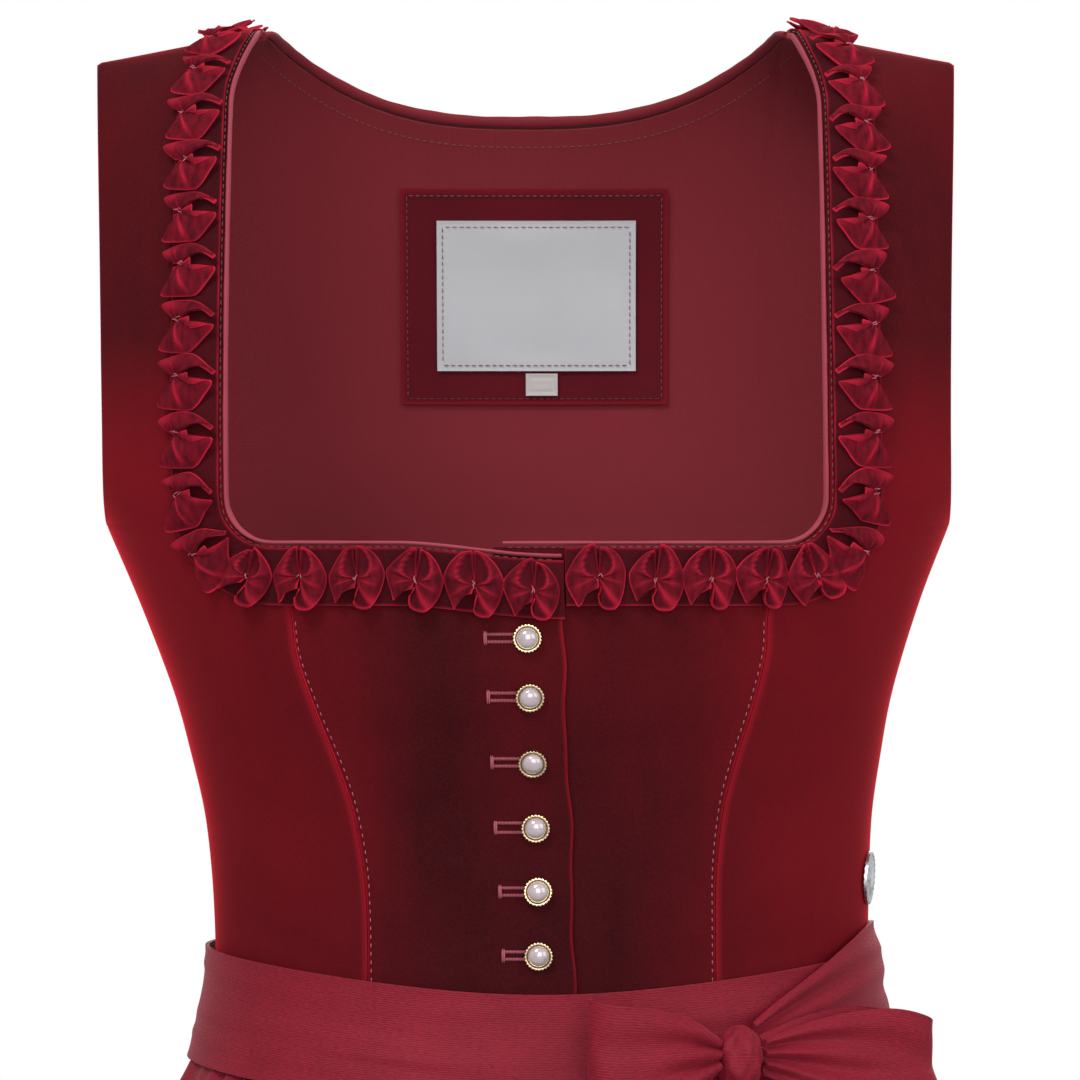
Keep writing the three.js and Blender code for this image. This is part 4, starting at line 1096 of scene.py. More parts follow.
                # Painted highlight along the princess seams below the neck, and along the right front's
                # lapping edge.
                painted_highlight = 0.42 * bell(seam, 0.55) * (panel.rows <= LOW_TOP)[:, None]
                if name == "front_centre_right":
                    painted_highlight = painted_highlight + 0.45 * bell(edge, 0.5)
            piece = shell(f"velvet_{name}", grid, VELVET, self.looks.velvet, normals, painted_highlight)
            ride(piece, "velvet", f"bodice_{name}")
            declare(piece, flat)
        for name, panel, flat in (("back_centre", self.back_centre(False), (0.34, 0.37)), *backs):
            grid, normals = panel.grid(-VELVET - SEAM, True)
            piece = shell(f"rose_lining_{name}", grid, LINING, self.looks.lining, normals)
            ride(piece, "rose", f"lining_{name}")
            declare(piece, flat)


def capsule(sides: int = 5) -> tuple[Array, list[list[int]]]:
    """Small thread stitch of unit length and radius, bowed up in its middle.

    Args:
        sides: Sides of the thread.

    Returns:
        Points (along, across, up) and faces.
    """
    along = np.array([-0.5, -0.3, 0.0, 0.3, 0.5])
    radius = np.array([0.35, 0.9, 1.0, 0.9, 0.35])
    lift = np.array([-0.6, 0.2, 0.5, 0.2, -0.6])
    turn = np.arange(sides) * 2 * math.pi / sides
    rings = [np.stack([np.full(sides, a), r * np.cos(turn), r * np.sin(turn) + up], -1)
             for a, r, up in zip(along, radius, lift)]
    points = np.concatenate(rings)
    faces: list[list[int]] = []
    for i in range(len(along) - 1):
        for j in range(sides):
            a, b = i * sides + j, i * sides + (j + 1) % sides
            faces.append([a, b, b + sides, a + sides])
    caps = [list(range(sides))[::-1], [len(points) - sides + j for j in range(sides)]]
    return points, faces + caps


@dataclass
class Sewing:
    """Stitches as small bowed threads, gathered into one piece for each kind of thread."""

    material: bpy.types.Material
    points: list[Array] = field(default_factory=list)
    faces: list[list[int]] = field(default_factory=list)
    count: int = 0

    def stitch(self, start: Array, end: Array, up: Array, radius: float) -> None:
        """Adds one stitch.

        Args:
            start: Where the thread comes up.
            end: Where it goes down.
            up: Normal of the cloth.
            radius: Half thickness of the thread.
        """
        template, faces = capsule()
        along = end - start
        size = float(np.linalg.norm(along))
        if size < 1e-6:
            return
        along = along / size
        side = np.cross(up, along)
        side = side / max(float(np.linalg.norm(side)), 1e-9)
        lift = np.cross(along, side)
        middle = (start + end) / 2
        placed = (middle + template[:, :1] * size * along + template[:, 1:2] * radius * side
                  + template[:, 2:3] * radius * lift)
        self.points.append(placed)
        self.faces.extend([[i + self.count for i in face] for face in faces])
        self.count += len(template)

    def run(self, line: Array, ups: Array, pitch: float, length: float, radius: float) -> None:
        """Adds a row of running stitches along a line.

        Args:
            line: Points along the row.
            ups: Normals of the cloth there.
            pitch: Distance from stitch to stitch.
            length: Length of a stitch.
            radius: Half thickness of the thread.
        """
        along = np.concatenate([[0], np.cumsum(np.linalg.norm(np.diff(line, axis=0), axis=1))])
        places = np.arange(pitch / 2, along[-1] - pitch / 2, pitch)

        def at(where: Array, rows: Array) -> Array:
            """Rows read at places along the line."""
            return np.stack([np.interp(where, along, rows[:, i]) for i in range(3)], -1)

        starts, ends = at(places - length / 2, line), at(places + length / 2, line)
        for start, end, up in zip(starts, ends, at(places, ups)):
            self.stitch(start, end, up, radius)

    def build(self, name: str, slot: str) -> bpy.types.Object:
        """Makes the piece of all its stitches."""
        made = mesh_object(name, np.concatenate(self.points), self.faces, self.material, sharp=60.0)
        outward_normals()
        ride(made, slot)
        return made


@dataclass(frozen=True)
class Wing:
    """Half of a puff, drawn round its tack from the neck side to the arm side.

    The outline's columns are the place along, the place towards the neck, the height of the rim and
    the swell behind it. Each ridge runs out from the tack: its share at the tack and at the rim, its
    height (below 0 for a trough), half width and the strength of its painted highlight. Bowls are sunk
    beside such a line: share at the tack and at the rim, side that is sunk, depth and the strength of
    the painted highlight on the line; their hollows get painted shade. The painted highlight band
    across the wing gives its share, half width and strength.
    """

    outline: Table
    ridges: tuple[tuple[float, float, float, float, float], ...]
    bowls: tuple[tuple[float, float, float, float, float], ...] = ()
    arch: float = 0.0
    painted_highlight_band: tuple[float, float, float] = (0.2, 0.1, 0.0)


SLIT_WING = Wing(
    Table([0, 0.12, 0.25, 0.4, 0.5, 0.62, 0.74, 0.8, 0.88, 0.95, 1],
          u=[0.8, 4.0, 7.6, 10.1, 10.6, 9.8, 8.0, 7.2, 5.3, 2.6, 0.6],
          n=[10.4, 9.2, 5.8, 1.9, 0.0, -3.4, -7.6, -9.3, -6.3, -4.6, -3.8],
          edge=[4.0, 3.4, 1.6, 0.8, 0.7, 0.9, 1.9, 3.0, 3.2, 3.0, 2.6],
          bulge=[0.8, 1.8, 2.6, 2.8, 2.9, 2.9, 2.6, 1.6, 1.2, 0.6, 0.2]),
    ((0.5, 0.5, -0.7, 0.03, 0.0), (0.62, 0.66, 0.6, 0.04, 0.3), (0.36, 0.36, 0.4, 0.05, 0.2)),
    ((0.46, 0.0, -1.0, 1.9, 0.42),),
)
FLAP_WING = Wing(
    Table([0, 0.12, 0.25, 0.38, 0.48, 0.6, 0.7, 0.78, 0.88, 0.95, 1],
          u=[0.8, 4.1, 7.3, 9.3, 9.7, 8.8, 7.0, 4.8, 0.4, -0.7, 0.2],
          n=[10.3, 9.4, 6.4, 2.6, 0.0, -4.2, -8.0, -10.4, -10.2, -7.4, -3.6],
          edge=[4.0, 3.4, 1.6, 0.8, 0.7, 0.9, 1.8, 3.2, 3.6, 3.0, 2.2],
          bulge=[0.8, 1.8, 2.6, 2.8, 2.9, 2.8, 2.4, 1.4, 0.9, 0.5, 0.2]),
    ((0.48, 0.48, -0.7, 0.03, 0.0), (0.6, 0.58, 0.5, 0.04, 0.3), (0.34, 0.34, 0.4, 0.05, 0.2)),
    ((0.44, 0.0, -1.0, 1.9, 0.42), (0.8, 0.74, 1.0, 1.6, 0.5)),
)
HOOD_WING = Wing(
    Table([0, 0.06, 0.14, 0.28, 0.42, 0.56, 0.7, 0.82, 0.9, 1],
          u=[-0.9, 0.3, 1.6, 5.2, 7.0, 7.1, 6.5, 4.9, 2.6, 0.3],
          n=[8.2, 9.4, 8.0, 3.6, -0.4, -4.2, -7.6, -10.0, -9.2, -7.0],
          edge=[3.2, 3.4, 3.0, 2.2, 1.7, 1.7, 2.2, 3.4, 2.8, 1.6],
          bulge=[0.7, 0.9, 1.4, 1.8, 1.9, 1.9, 1.6, 1.0, 0.6, 0.3]),
    ((0.5, 0.46, -0.5, 0.03, 0.1), (0.66, 0.66, 0.5, 0.04, 0.35)),
    arch=3.4,
    painted_highlight_band=(0.74, 0.14, 0.3),
)
FAN_WING = Wing(
    Table([0, 0.08, 0.18, 0.28, 0.4, 0.52, 0.62, 0.74, 0.82, 0.9, 1],
          u=[-0.8, 3.8, 3.5, 4.5, 8.0, 12.0, 12.3, 11.5, 10.2, 5.5, 0.8],
          n=[-0.6, 0.4, 6.2, 8.3, 4.4, 0.2, -3.0, -9.6, -10.6, -8.6, -6.2],
          edge=[3.0, 3.2, 3.9, 3.4, 1.4, 0.7, 0.7, 2.2, 3.0, 1.8, 1.4],
          bulge=[0.3, 0.9, 1.1, 1.3, 1.8, 2.2, 2.3, 1.5, 0.8, 0.6, 0.3]),
    ((0.66, 0.6, 0.9, 0.022, 0.6), (0.4, 0.47, -0.5, 0.03, 0.0), (0.8, 0.76, -0.4, 0.03, 0.0)),
    painted_highlight_band=(0.2, 0.1, 0.5),
)


@dataclass
class Puff:
    """One pinched puff of the ruche: two wings that meet at a tack."""

    length: float
    turn: float
    tall: float
    tack: float
    wings: dict[int, Wing]

    def wing(self, way: int, rng: np.random.Generator) -> tuple[Array, Array, Array, Array, Array]:
        """Grid of one wing.

        Args:
            way: 1 for the wing further along the ribbon, -1 for the other.
            rng: Source of small differences.

        Returns:
            Places along, towards the neck and up, the painted highlight, and the painted shade in the bowls.
        """
        form = self.wings[way]
        share = np.concatenate([[0, 0.012], np.linspace(0.04, 0.96, 29), [0.988, 1]])
        reach = np.array([0.03, 0.1, 0.2, 0.31, 0.43, 0.55, 0.67, 0.78, 0.87, 0.93, 0.965, 0.985, 1.0])
        s, r = np.meshgrid(share, reach, indexing="ij")
        size = 1 + rng.normal(0, 0.045)
        arc = np.sin(np.pi * r)
        u = 0.15 + (form.outline.at(s, "u") * size - 0.15) * r + form.arch * arc * bell(s, 0.16)
        n = self.tack + (form.outline.at(s, "n") * size - self.tack) * r
        edge = form.outline.at(s, "edge") * self.tall
        swell = form.outline.at(s, "bulge") * self.tall * (1 + rng.normal(0, 0.1))
        h = 1.1 + (edge - 1.1) * r**1.2 + swell * np.sin(np.pi * r**0.9)
        # Painted highlight on the wing's rims, uneven in strength along them.
        worn = 0.72 + 0.28 * np.sin(7 * s + rng.uniform(0, 6))
        painted_highlight = np.maximum.reduce([bell(s, 0.014), bell(1 - s, 0.014), bell(1 - r, 0.028)]) * worn
        # Painted shade in the sunk bowls, filled in by the bowls below.
        deep = np.zeros(s.shape)
        for at, out, height, width, highlight_strength in form.ridges:
            line = at + (out - at) * r + rng.normal(0, 0.012)
            ridge = bell(s - line, width) * np.sin(np.pi * r**0.7)
            h = h + height * ridge
            # Painted highlight along each ridge, strongest part way out.
            shine = np.clip(1.3 * np.sin(np.pi * r**0.8), 0, 1)
            painted_highlight = np.maximum(painted_highlight, highlight_strength * bell(s - line, 0.02) * shine)
        # Bowls: painted highlight along their line, dimmed where the cloth is sunk.
        for at, out, side, depth, highlight_strength in form.bowls:
            line = out + (at - out) * (1 - r**2.2) + rng.normal(0, 0.01)
            sunk = smooth(side * (s - line), 0.0, 0.07) * np.clip(r * 2.2, 0, 1)
            rim = np.minimum(s, 1 - s) if out in (0.0, 1.0) else 1 - r
            h = h - depth * sunk * (1 - bell(rim, 0.03))
            painted_highlight = np.maximum(painted_highlight * (1 - 0.3 * sunk), highlight_strength * bell(s - line, 0.045))
            # Painted shade in the bowl, fading out at its rim.
            deep = np.maximum(deep, sunk * smooth(1 - r, 0.02, 0.12))
        # Painted highlight band across the wing.
        place, width, highlight_strength = form.painted_highlight_band
        painted_highlight = np.maximum(painted_highlight, highlight_strength * bell(s - place, width) * smooth(r, 0.35, 0.8))
        h = h + 0.16 * np.sin(13 * s + 6 * r + rng.uniform(0, 6))
        u = u + 0.35 * np.sin(9 * s + rng.uniform(0, 6)) * r
        n = n + 0.35 * np.sin(8 * s + rng.uniform(0, 6)) * r
        turn = math.radians(self.turn)
        u = way * u
        along = u * math.cos(turn) - (n - self.tack) * math.sin(turn)
        n = self.tack + u * math.sin(turn) + (n - self.tack) * math.cos(turn)
        return self.length + along, n, np.maximum(h, 0.5), np.clip(painted_highlight, 0, 1), deep


@dataclass
class NeckTrim:
    """Piping on the neck edge, the flat ribbon, and the ruche of pinched puffs on it."""

    looks: Wardrobe
    edge: NeckEdge
    base: float = 1.9
    seed: int = 7
    # Strength of the ruche's painted highlight.
    painted_highlight_share: float = 0.74
    # Strength of the ruche's painted shade in its bowls.
    bowl_shade_share: float = 0.7

    def piping(self, name: str, start: float, end: float, fat: float, material: bpy.types.Material,
               lapped: bool = False, low: float = 0.0) -> None:
        """Piping along a part of the opening.

        Args:
            name: Piece name.
            start: Where it starts, by length along the trim.
            end: Where it ends.
            fat: Half width across the edge.
            material: Finish.
            lapped: Follow the right front's falling edge.
            low: How far it is sunk.
        """
        count, sides = int((end - start) / 1.6), 12
        length = np.linspace(start, end, count)
        turn = np.arange(sides) * 2 * math.pi / sides
        l, t = np.meshgrid(length, turn, indexing="ij")
        swell = 1 + 0.05 * np.sin(l / 7.0) + 0.03 * np.sin(l / 2.3)
        points = self.edge.beside(l, -0.35 - fat + fat * swell * np.cos(t),
                                  1.3 * swell * np.sin(t) - 0.7 - low, lapped)
        index = np.arange(count * sides).reshape(count, sides)
        after = np.roll(index, -1, 1)
        faces = np.stack([index[:-1], index[1:], after[1:], after[:-1]], -1).reshape(-1, 4).tolist()
        faces += [index[0].tolist(), index[-1, ::-1].tolist()]
        uv = np.stack([l, t * 1.3], -1).reshape(-1, 2)
        piece = mesh_object(name, points.reshape(-1, 3), faces, material, uv)
        outward_normals()
        ride(piece, "rose", "neck_piping")

    def flat_ribbon(self, name: str, start: float, end: float, node: str) -> None:
        """Flat ribbon under the puffs, with a painted highlight along both selvedges."""
        count = int((end - start) / 1.6)
        length = np.linspace(start, end, count)
        across = np.array([-1, -0.96, -0.9, -0.68, -0.36, 0, 0.36, 0.68, 0.9, 0.96, 1])
        o, l = np.meshgrid(across, length, indexing="ij")
        middle, half = ribbon_at(l)
        wave = 0.3 * np.sin(l / 3.1 + o * 2.5) * (1 - np.abs(o) / 1.5)
        lapped = name.endswith("right")
        grid = self.edge.beside(l, middle + o * half, 1.5 + wave, lapped)
        # Painted highlight along both selvedges.
        painted_highlight = 0.42 * smooth(np.abs(o), 0.94, 0.99) * (0.75 + 0.25 * np.sin(l / 5.0))
        normals = grid_normals(grid, True)
        up = self.edge.beside(l, middle + o * half, 2.5 + wave, lapped) - grid
        normals = normals * np.sign((normals * up).sum(-1, keepdims=True))
        piece = shell(name, grid, 0.8, self.looks.flat_ribbon, normals, painted_highlight)
        ride(piece, "velvet", node)
        declare(piece, (0.021, (end - start) * MM))

    def ruche(self, name: str, centres: Sequence[float], node: str, tacks: Sewing) -> None:
        """All the puffs of one half of the neck."""
        rng = np.random.default_rng(self.seed + len(name))
        lapped = name.endswith("right")
        points: list[Array] = []
        faces: list[Array] = []
        marks: list[Array] = []
        painted_shades: list[Array] = []
        places: list[Array] = []
        total = 0
        for centre in centres:
            upright = abs(centre) > UPRIGHT_PUFFS
            up_way = 1 if centre > 0 else -1
            wings = {up_way: HOOD_WING, -up_way: FAN_WING} if upright else {-1: SLIT_WING, 1: FLAP_WING}
            tack = -5.5 + rng.normal(0, 0.6) if upright else -0.8 + rng.normal(0, 0.4)
            puff = Puff(float(centre), rng.normal(0, 5.0), 1 + rng.normal(0, 0.07), tack, wings)
            middle = ribbon_at(np.array(float(centre)))[0]
            for way in (1, -1):
                # Each wing gives its painted highlight and its painted shade in the bowls.
                length, n, h, painted_highlight, sunk = puff.wing(way, rng)
                grid = self.edge.beside(length, middle - n, self.base + h, lapped)
                up = self.edge.beside(length, middle - n, self.base + h + 1, lapped) - grid
                normals = grid_normals(grid, False)
                sign = np.sign((normals * up).sum(-1, keepdims=True))
                normals = normals * np.where(sign == 0, 1, sign)
                inner = grid - normals * 0.5 - up * 0.1
                rows, columns = grid.shape[:2]
                count = rows * columns
                whole = wall_faces(rows, columns)
                face_normal = np.cross(grid[9, 7] - grid[9, 6], grid[10, 6] - grid[9, 6])
                if float((face_normal * normals[9, 6]).sum()) < 0:
                    whole = whole[:, ::-1]
                points += [grid.reshape(-1, 3), inner.reshape(-1, 3)]
                faces.append(whole + total)
                marks += [painted_highlight.ravel(), painted_highlight.ravel()]
                painted_shades += [sunk.ravel(), sunk.ravel()]
                flat = np.stack([length, n], -1).reshape(-1, 2)
                places += [flat, flat]
                total += 2 * count
            self._tack(puff, tacks, rng, lapped)
        # Painted highlight, and painted shade in the bowls through the inside mark.
        shading = {"painted_highlight": np.concatenate(marks) * self.painted_highlight_share,
                   "inside": np.concatenate(painted_shades) * self.bowl_shade_share}
        piece = mesh_object(name, np.concatenate(points), np.concatenate(faces), self.looks.ribbon,
                            np.concatenate(places), shading, sharp=80.0)
        ride(piece, "ruche", node)
        span = abs(centres[-1] - centres[0]) + 20
        declare(piece, (0.024, span * MM * 1.7))

    def _tack(self, puff: Puff, tacks: Sewing, rng: np.random.Generator, lapped: bool) -> None:
        """Three short threads over the tack of a puff."""
        for _ in range(3):
            du, dn = rng.normal(0, 0.5, 2)
            turn = rng.uniform(0.6, 2.4)
            ends = np.array([[-1, 1]]) * 1.0
            length = puff.length + du + ends[0] * math.cos(turn)
            middle = ribbon_at(np.array(puff.length))[0]
            off = middle - (puff.tack + dn + ends[0] * math.sin(turn))
            line = self.edge.beside(length, off, np.full(2, self.base + 1.9), lapped)
            up = self.edge.beside(length[:1], off[:1], self.base + 3.0, lapped)[0] - line[0]
            tacks.stitch(line[0], line[1], up / np.linalg.norm(up), 0.22)

    def build(self, tacks: Sewing) -> None:
        """Makes the whole trim."""
        half = self.edge.length / 2
        shoulder = self.edge.shoulder
        cloth, lining = self.looks.piping, self.looks.lining
        self.piping("neck_edge_piping_right", -shoulder, 11.4, 0.72, cloth, True)
        self.piping("neck_edge_piping_left", -9.0, shoulder, 0.72, cloth, False, 0.9)
        self.piping("neck_edge_facing", shoulder, self.edge.length - shoulder, 2.1, lining, False, 0.8)
        self.flat_ribbon("flat_ribbon_right", 0.3 - half, 12.0, "trim_ribbon_right")
        self.flat_ribbon("flat_ribbon_left", 12.6, half - 0.3, "trim_ribbon_left")
        right = np.arange(1.6, 9 - half, -20.4)
        left = np.arange(24.0, half - 9, 19.6)
        self.ruche("puffed_ruche_right", right, "ruche_right", tacks)
        self.ruche("puffed_ruche_left", left, "ruche_left", tacks)


def ring(angle: Array, half: Array, depth: Array, off: Array, z: Array) -> Array:
    """Points on a rounded horizontal ring; the angle is in degrees from the front."""
    a = np.radians(angle)
    across, along = np.abs(np.sin(a)) / half, np.abs(np.cos(a)) / depth
    radius = (across**FULLNESS + along**FULLNESS) ** (-1 / FULLNESS) + off
    return np.stack(np.broadcast_arrays(radius * np.sin(a), -radius * np.cos(a), z), -1)


def band_top(angle: Array) -> Array:
    """Height of the band's top edge round the waist."""
    front = np.cos(np.radians(angle))
    return BAND_TOP_Z - np.where(front > 0, 12.0, 2.0) * front**2


def tie_lift(angle: Array) -> Array:
    """How much higher the tie stands where it comes forward at the wearer's left side."""
    return TIE_LIFT * (1 - smooth(angle, TIE_SEAM_ANGLE, TIE_LIFT_END))


def band_point(angle: Array, down: Array, off: Array) -> Array:
    """Point on the outer face of the waistband, which leans in to the velvet above its top."""
    lean = 3.0 * np.clip(-np.asarray(down) / 9.0, 0, 1)
    return ring(angle, BAND.at(down, "half"), BAND.at(down, "depth"), off - lean, band_top(angle) - down)


@dataclass(frozen=True)
class Folds:
    """Folds of a gathered cloth between two angles, as uneven as hand gathers."""

    start: float
    end: float
    count: int
    seed: float

    def wave(self, angle: Array) -> Array:
        """Share of the fold's depth at each angle: -1 in a trough, about 1 on a crest."""
        k = np.arange(self.count)
        widths = 1 + 0.26 * np.sin(2.3 * k + self.seed) + 0.14 * np.sin(4.1 * k + 3 * self.seed)
        steps = np.concatenate([[0], np.cumsum(widths)]) / widths.sum()
        edges = self.start + (self.end - self.start) * steps
        fold = np.clip(np.searchsorted(edges, angle, side="right") - 1, 0, self.count - 1)
        t = np.clip((angle - edges[fold]) / (edges[fold + 1] - edges[fold]), 0, 1)
        deep = 1 + 0.22 * np.sin(1.9 * fold + 2 * self.seed)
        return -1 + (deep + 1) * (0.5 - 0.5 * np.cos(2 * math.pi * t))


def skirt_at(angle: Array, row: Array, off: Array) -> Array:
    """Point on the middle of the skirt's wall, row 0 at the waist and 1 at the hem."""
    front = np.cos(np.radians(angle))
    top = SIDE_WAIST_Z - np.where(front > 0, 12.0, 3.0) * front**2 - 0.4
    level = SIDE_WAIST_Z + (SKIRT_HEM_Z - SIDE_WAIST_Z) * row
    return ring(angle, SKIRT.at(level, "half"), SKIRT.at(level, "depth"), off,
                top + (SKIRT_HEM_Z - top) * row)


def apron_at(angle: Array, row: Array, wave: Array, off: Any) -> Array:
    """Point on the middle of the apron's cloth, row 0 at the band and 1 at the hem."""
    top = band_top(angle) - BAND_HEIGHT - APRON_DROP
    level = BAND_TOP_Z - BAND_HEIGHT + (APRON_HEM_Z - BAND_TOP_Z + BAND_HEIGHT) * row
    stand = APRON.at(level, "off") + wave * APRON.at(level, "fold") + off
    return ring(angle, SKIRT.at(level, "half"), SKIRT.at(level, "depth"), stand,
                top + (APRON_HEM_Z - top) * row)


@dataclass
class Skirt:
    """Four gathered widths of plain rose cloth."""

    looks: Wardrobe
    widths: tuple[tuple[str, float, float, int], ...] = (
        ("front", -55, 55, 11), ("side_left", 55, 125, 8),
        ("back", 125, 235, 13), ("side_right", 235, 305, 8))

    def build(self) -> None:
        """Makes each width and its hem."""
        for name, start, end, count in self.widths:
            folds = Folds(start, end, count, start / 50)
            angle = np.linspace(start + 0.06, end - 0.06, count * 12 + 1)
            row = np.concatenate([np.linspace(0, 0.12, 14), np.linspace(0.14, 1, 44)])
            a, r = np.meshgrid(angle, row)
            level = SIDE_WAIST_Z + (SKIRT_HEM_Z - SIDE_WAIST_Z) * r
            soft = 1.4 * np.sin(a / 6.1 + 5 * r) * r + 0.9 * np.sin(a / 2.7 - 9 * r) * r
            grid = skirt_at(a, r, folds.wave(a) * SKIRT.at(level, "fold") + soft)
            normals = grid_normals(grid, True)
            piece = shell(f"skirt_cloth_{name}", grid + normals * 0.8, 1.6, self.looks.skirting, normals)
            ride(piece, "skirting", f"skirt_{name}")
            area = flat_area(piece)
            declare(piece, (area / 0.70 * 1.02, 0.71))


@dataclass
class Apron:
    """Crepe apron: gathered cloth, waistband, ties and bow."""

    looks: Wardrobe
    seed: int = 11

    def cloth(self) -> None:
        """Gathered apron cloth, with smaller gathers just under the band."""
        folds = Folds(-82, 82, 24, 0.7)
        angle = np.linspace(-86, 86, 24 * 13 + 1)
        row = np.concatenate([np.linspace(0, 0.1, 26), np.linspace(0.115, 1, 60)])
        a, r = np.meshgrid(angle, row)
        near = np.exp(-r / 0.05)
        lean = a + 26 * r * np.exp(-r / 0.06)
        wave = np.where(np.abs(a) > 82, -0.9, folds.wave(np.clip(lean, -82, 82)))
        gathers = 1.5 * near * np.sin(np.radians(lean) * 62 + 1.3 * np.sin(a / 5)) * (np.abs(a) < 82)
        puff = 3.2 * np.sin(np.pi * np.clip(r / 0.07, 0, 1)) * (np.abs(a) < 82)
        soft = 1.2 * np.sin(a / 5.3 + 6 * r) * r + 0.8 * np.sin(a / 2.9 - 11 * r) * r
        grid = apron_at(a, r, wave, gathers + soft + 0.35 * puff)
        normals = grid_normals(grid, True)
        piece = shell("crepe_apron_cloth", grid + normals * 0.6, 1.2, self.looks.crepe, normals)
        ride(piece, "crepe", "apron_cloth")
        declare(piece, (flat_area(piece) / 0.61, 0.615))

    def band(self, name: str, start: float, end: float, node: str) -> None:
        """Waistband or tie round the waist, pulled into uneven soft folds along it."""
        angle = np.linspace(start, end, int((end - start) * 1.6))
        down = np.concatenate([[0, 0.6], np.linspace(1.5, 38.5, 34), [39.4, 40]])
        a, d = np.meshgrid(angle, down)
        rng = np.random.default_rng(self.seed)
        height = np.zeros(a.shape)
        for _ in range(26):
            at = rng.uniform(start, end)
            span, deep = rng.uniform(10, 34), rng.uniform(-0.8, 0.7)
            place, slope = rng.uniform(6, 34), rng.uniform(-0.12, 0.12)
            height += deep * bell(d - place - slope * (a - at), rng.uniform(1.6, 3.6)) * bell(a - at, span)
        height += 0.35 * bell(d, 1.6) + 0.35 * bell(d - 40, 1.6)
        lift = tie_lift(a) if start >= TIE_SEAM_ANGLE else 0.0
        grid = band_point(a, d - lift, height * 0.8)
        piece = shell(name, grid, 1.5, self.looks.crepe, grid_normals(grid, True))
        ride(piece, "crepe", node)
        arc = float(np.linalg.norm(np.diff(grid[20], axis=0), axis=1).sum())
        declare(piece, (arc * MM, 0.042))

    @staticmethod
    def _outward() -> Array:
        """Way out from the waist at the knot."""
        a = math.radians(KNOT_ANGLE)
        return np.array([math.sin(a), -math.cos(a), 0.0])

    @staticmethod
    def _knot() -> Array:
        """Middle of the knot."""
        down = float(band_top(np.array(KNOT_ANGLE))) - KNOT_Z
        return band_point(np.array(KNOT_ANGLE), np.array(down), np.array(KNOT_OUT))

    def loop(self, name: str, way: Array, droop: float, reach: float, node: str, tilt: float) -> None:
        """One loop of the bow, pinched at the knot, with creases that run out from it."""
        t = np.linspace(0, 8, 74)
        across = np.linspace(-1, 1, 33)
        c, s = np.meshgrid(across, t, indexing="ij")
        share = LOOP.at(s, "reach")
        out = 9.0 + share * (reach - 9.0)
        pinch = 1 - smooth(share, 0.0, 0.75)
        fold = 1.5 * np.sin(c * 9.5 + 0.6 * s) * (0.25 + pinch) + 0.7 * np.sin(c * 4 - s) * share
        rise = c * LOOP.at(s, "half") * 0.98 - droop * share**2 + 1.2 * np.sin(s * 1.3 + droop) * share
        height = LOOP.at(s, "out") - 2 + fold * (1 - 1.5 * smooth(s, 3.3, 4.7))
        height = height + tilt * np.maximum(-rise - 6, 0)
        middle = self._knot() + np.asarray(way) * out[..., None] + self._outward() * height[..., None]
        middle = middle + np.array([0, 0, 1.0]) * rise[..., None]
        piece = shell(name, middle, 1.1, self.looks.crepe, None, None, False)
        ride(piece, "crepe", node)
        declare(piece, (0.046, 2 * reach * MM * 1.15))

    def knot(self) -> None:
        """Knot of the bow: the tie wrapped over its middle in slanting folds."""
        bpy.ops.object.select_all(action="DESELECT")
        middle = self._knot() + np.array([float(LEAN.at(KNOT_Z, "x")), 0, 0])
        bpy.ops.mesh.primitive_uv_sphere_add(segments=48, ring_count=32, radius=1.0,
                                             location=tuple(middle * MM))
        piece = bpy.context.active_object
        piece.name = "crepe_knot"
        bpy.ops.object.transform_apply(location=True, rotation=True, scale=True)
        centre = middle * MM
        co = np.empty(len(piece.data.vertices) * 3)
        piece.data.vertices.foreach_get("co", co)
        co = co.reshape(-1, 3) - centre
        turn = np.arctan2(co[:, 1], co[:, 0])
        z = co[:, 2]
        folds = 0.55 * np.sin(turn * 5 + z * 5.0) + 0.4 * np.sin(turn * 9 - z * 7)
        wide = (7.6 + folds) * (1 - 0.1 * z)
        boxed = np.sign(z) * np.abs(z) ** 0.75
        co = np.stack([co[:, 0] * wide, co[:, 1] * wide, boxed * 11.0], -1) * MM + centre
        piece.data.vertices.foreach_set("co", co.ravel())
        piece.data.update()
        uv = piece.data.uv_layers.active
        uv.name = "Cloth"
        values = np.empty(len(uv.data) * 2, np.float32)
        uv.data.foreach_get("uv", values)
        uv.data.foreach_set("uv", values * 45)
        bpy.ops.object.shade_smooth_by_angle(angle=math.radians(60))
        piece.data.materials.append(self.looks.crepe)
        ride(piece, "crepe", "bow_knot")

    def tail(self, name: str, top: float, foot: float, length: float, off: float, node: str) -> None:
        """One hanging tail of the bow."""
        row = np.concatenate([np.linspace(0, 0.12, 16), np.linspace(0.14, 1, 50)])
        c, r = np.meshgrid(np.linspace(-1, 1, 29), row)
        z = KNOT_Z - 11.5 - r * length
        angle = top + (foot - top) * r
        level = band_top(angle) - BAND_HEIGHT - APRON_DROP
        share = np.maximum((z - level) / (APRON_HEM_Z - level), 0)
        half = 4 + 17 * np.minimum(r * 5, 1) + 3 * r
        middle = apron_at(angle, share, 1.22, 0)
        wide = half / np.hypot(middle[..., 0], middle[..., 1]) * 180 / math.pi
        ripple = 0.8 * np.sin(c * 6 + 5 * r + off) * (1.4 - r) + 0.8 * np.sin(r * 16 + off)
        grid = apron_at(angle + c * wide, share, 1.22, off + 0.6 + 4 * (1 - np.minimum(r * 12, 1)) + ripple)
        grid[..., 2] = z + 2.5 * c * np.clip((r - 0.9) * 10, 0, 1)
        piece = shell(name, grid, 1.2, self.looks.crepe, grid_normals(grid, True))
        ride(piece, "crepe", node)
        declare(piece, (0.05, length * MM * 1.04))

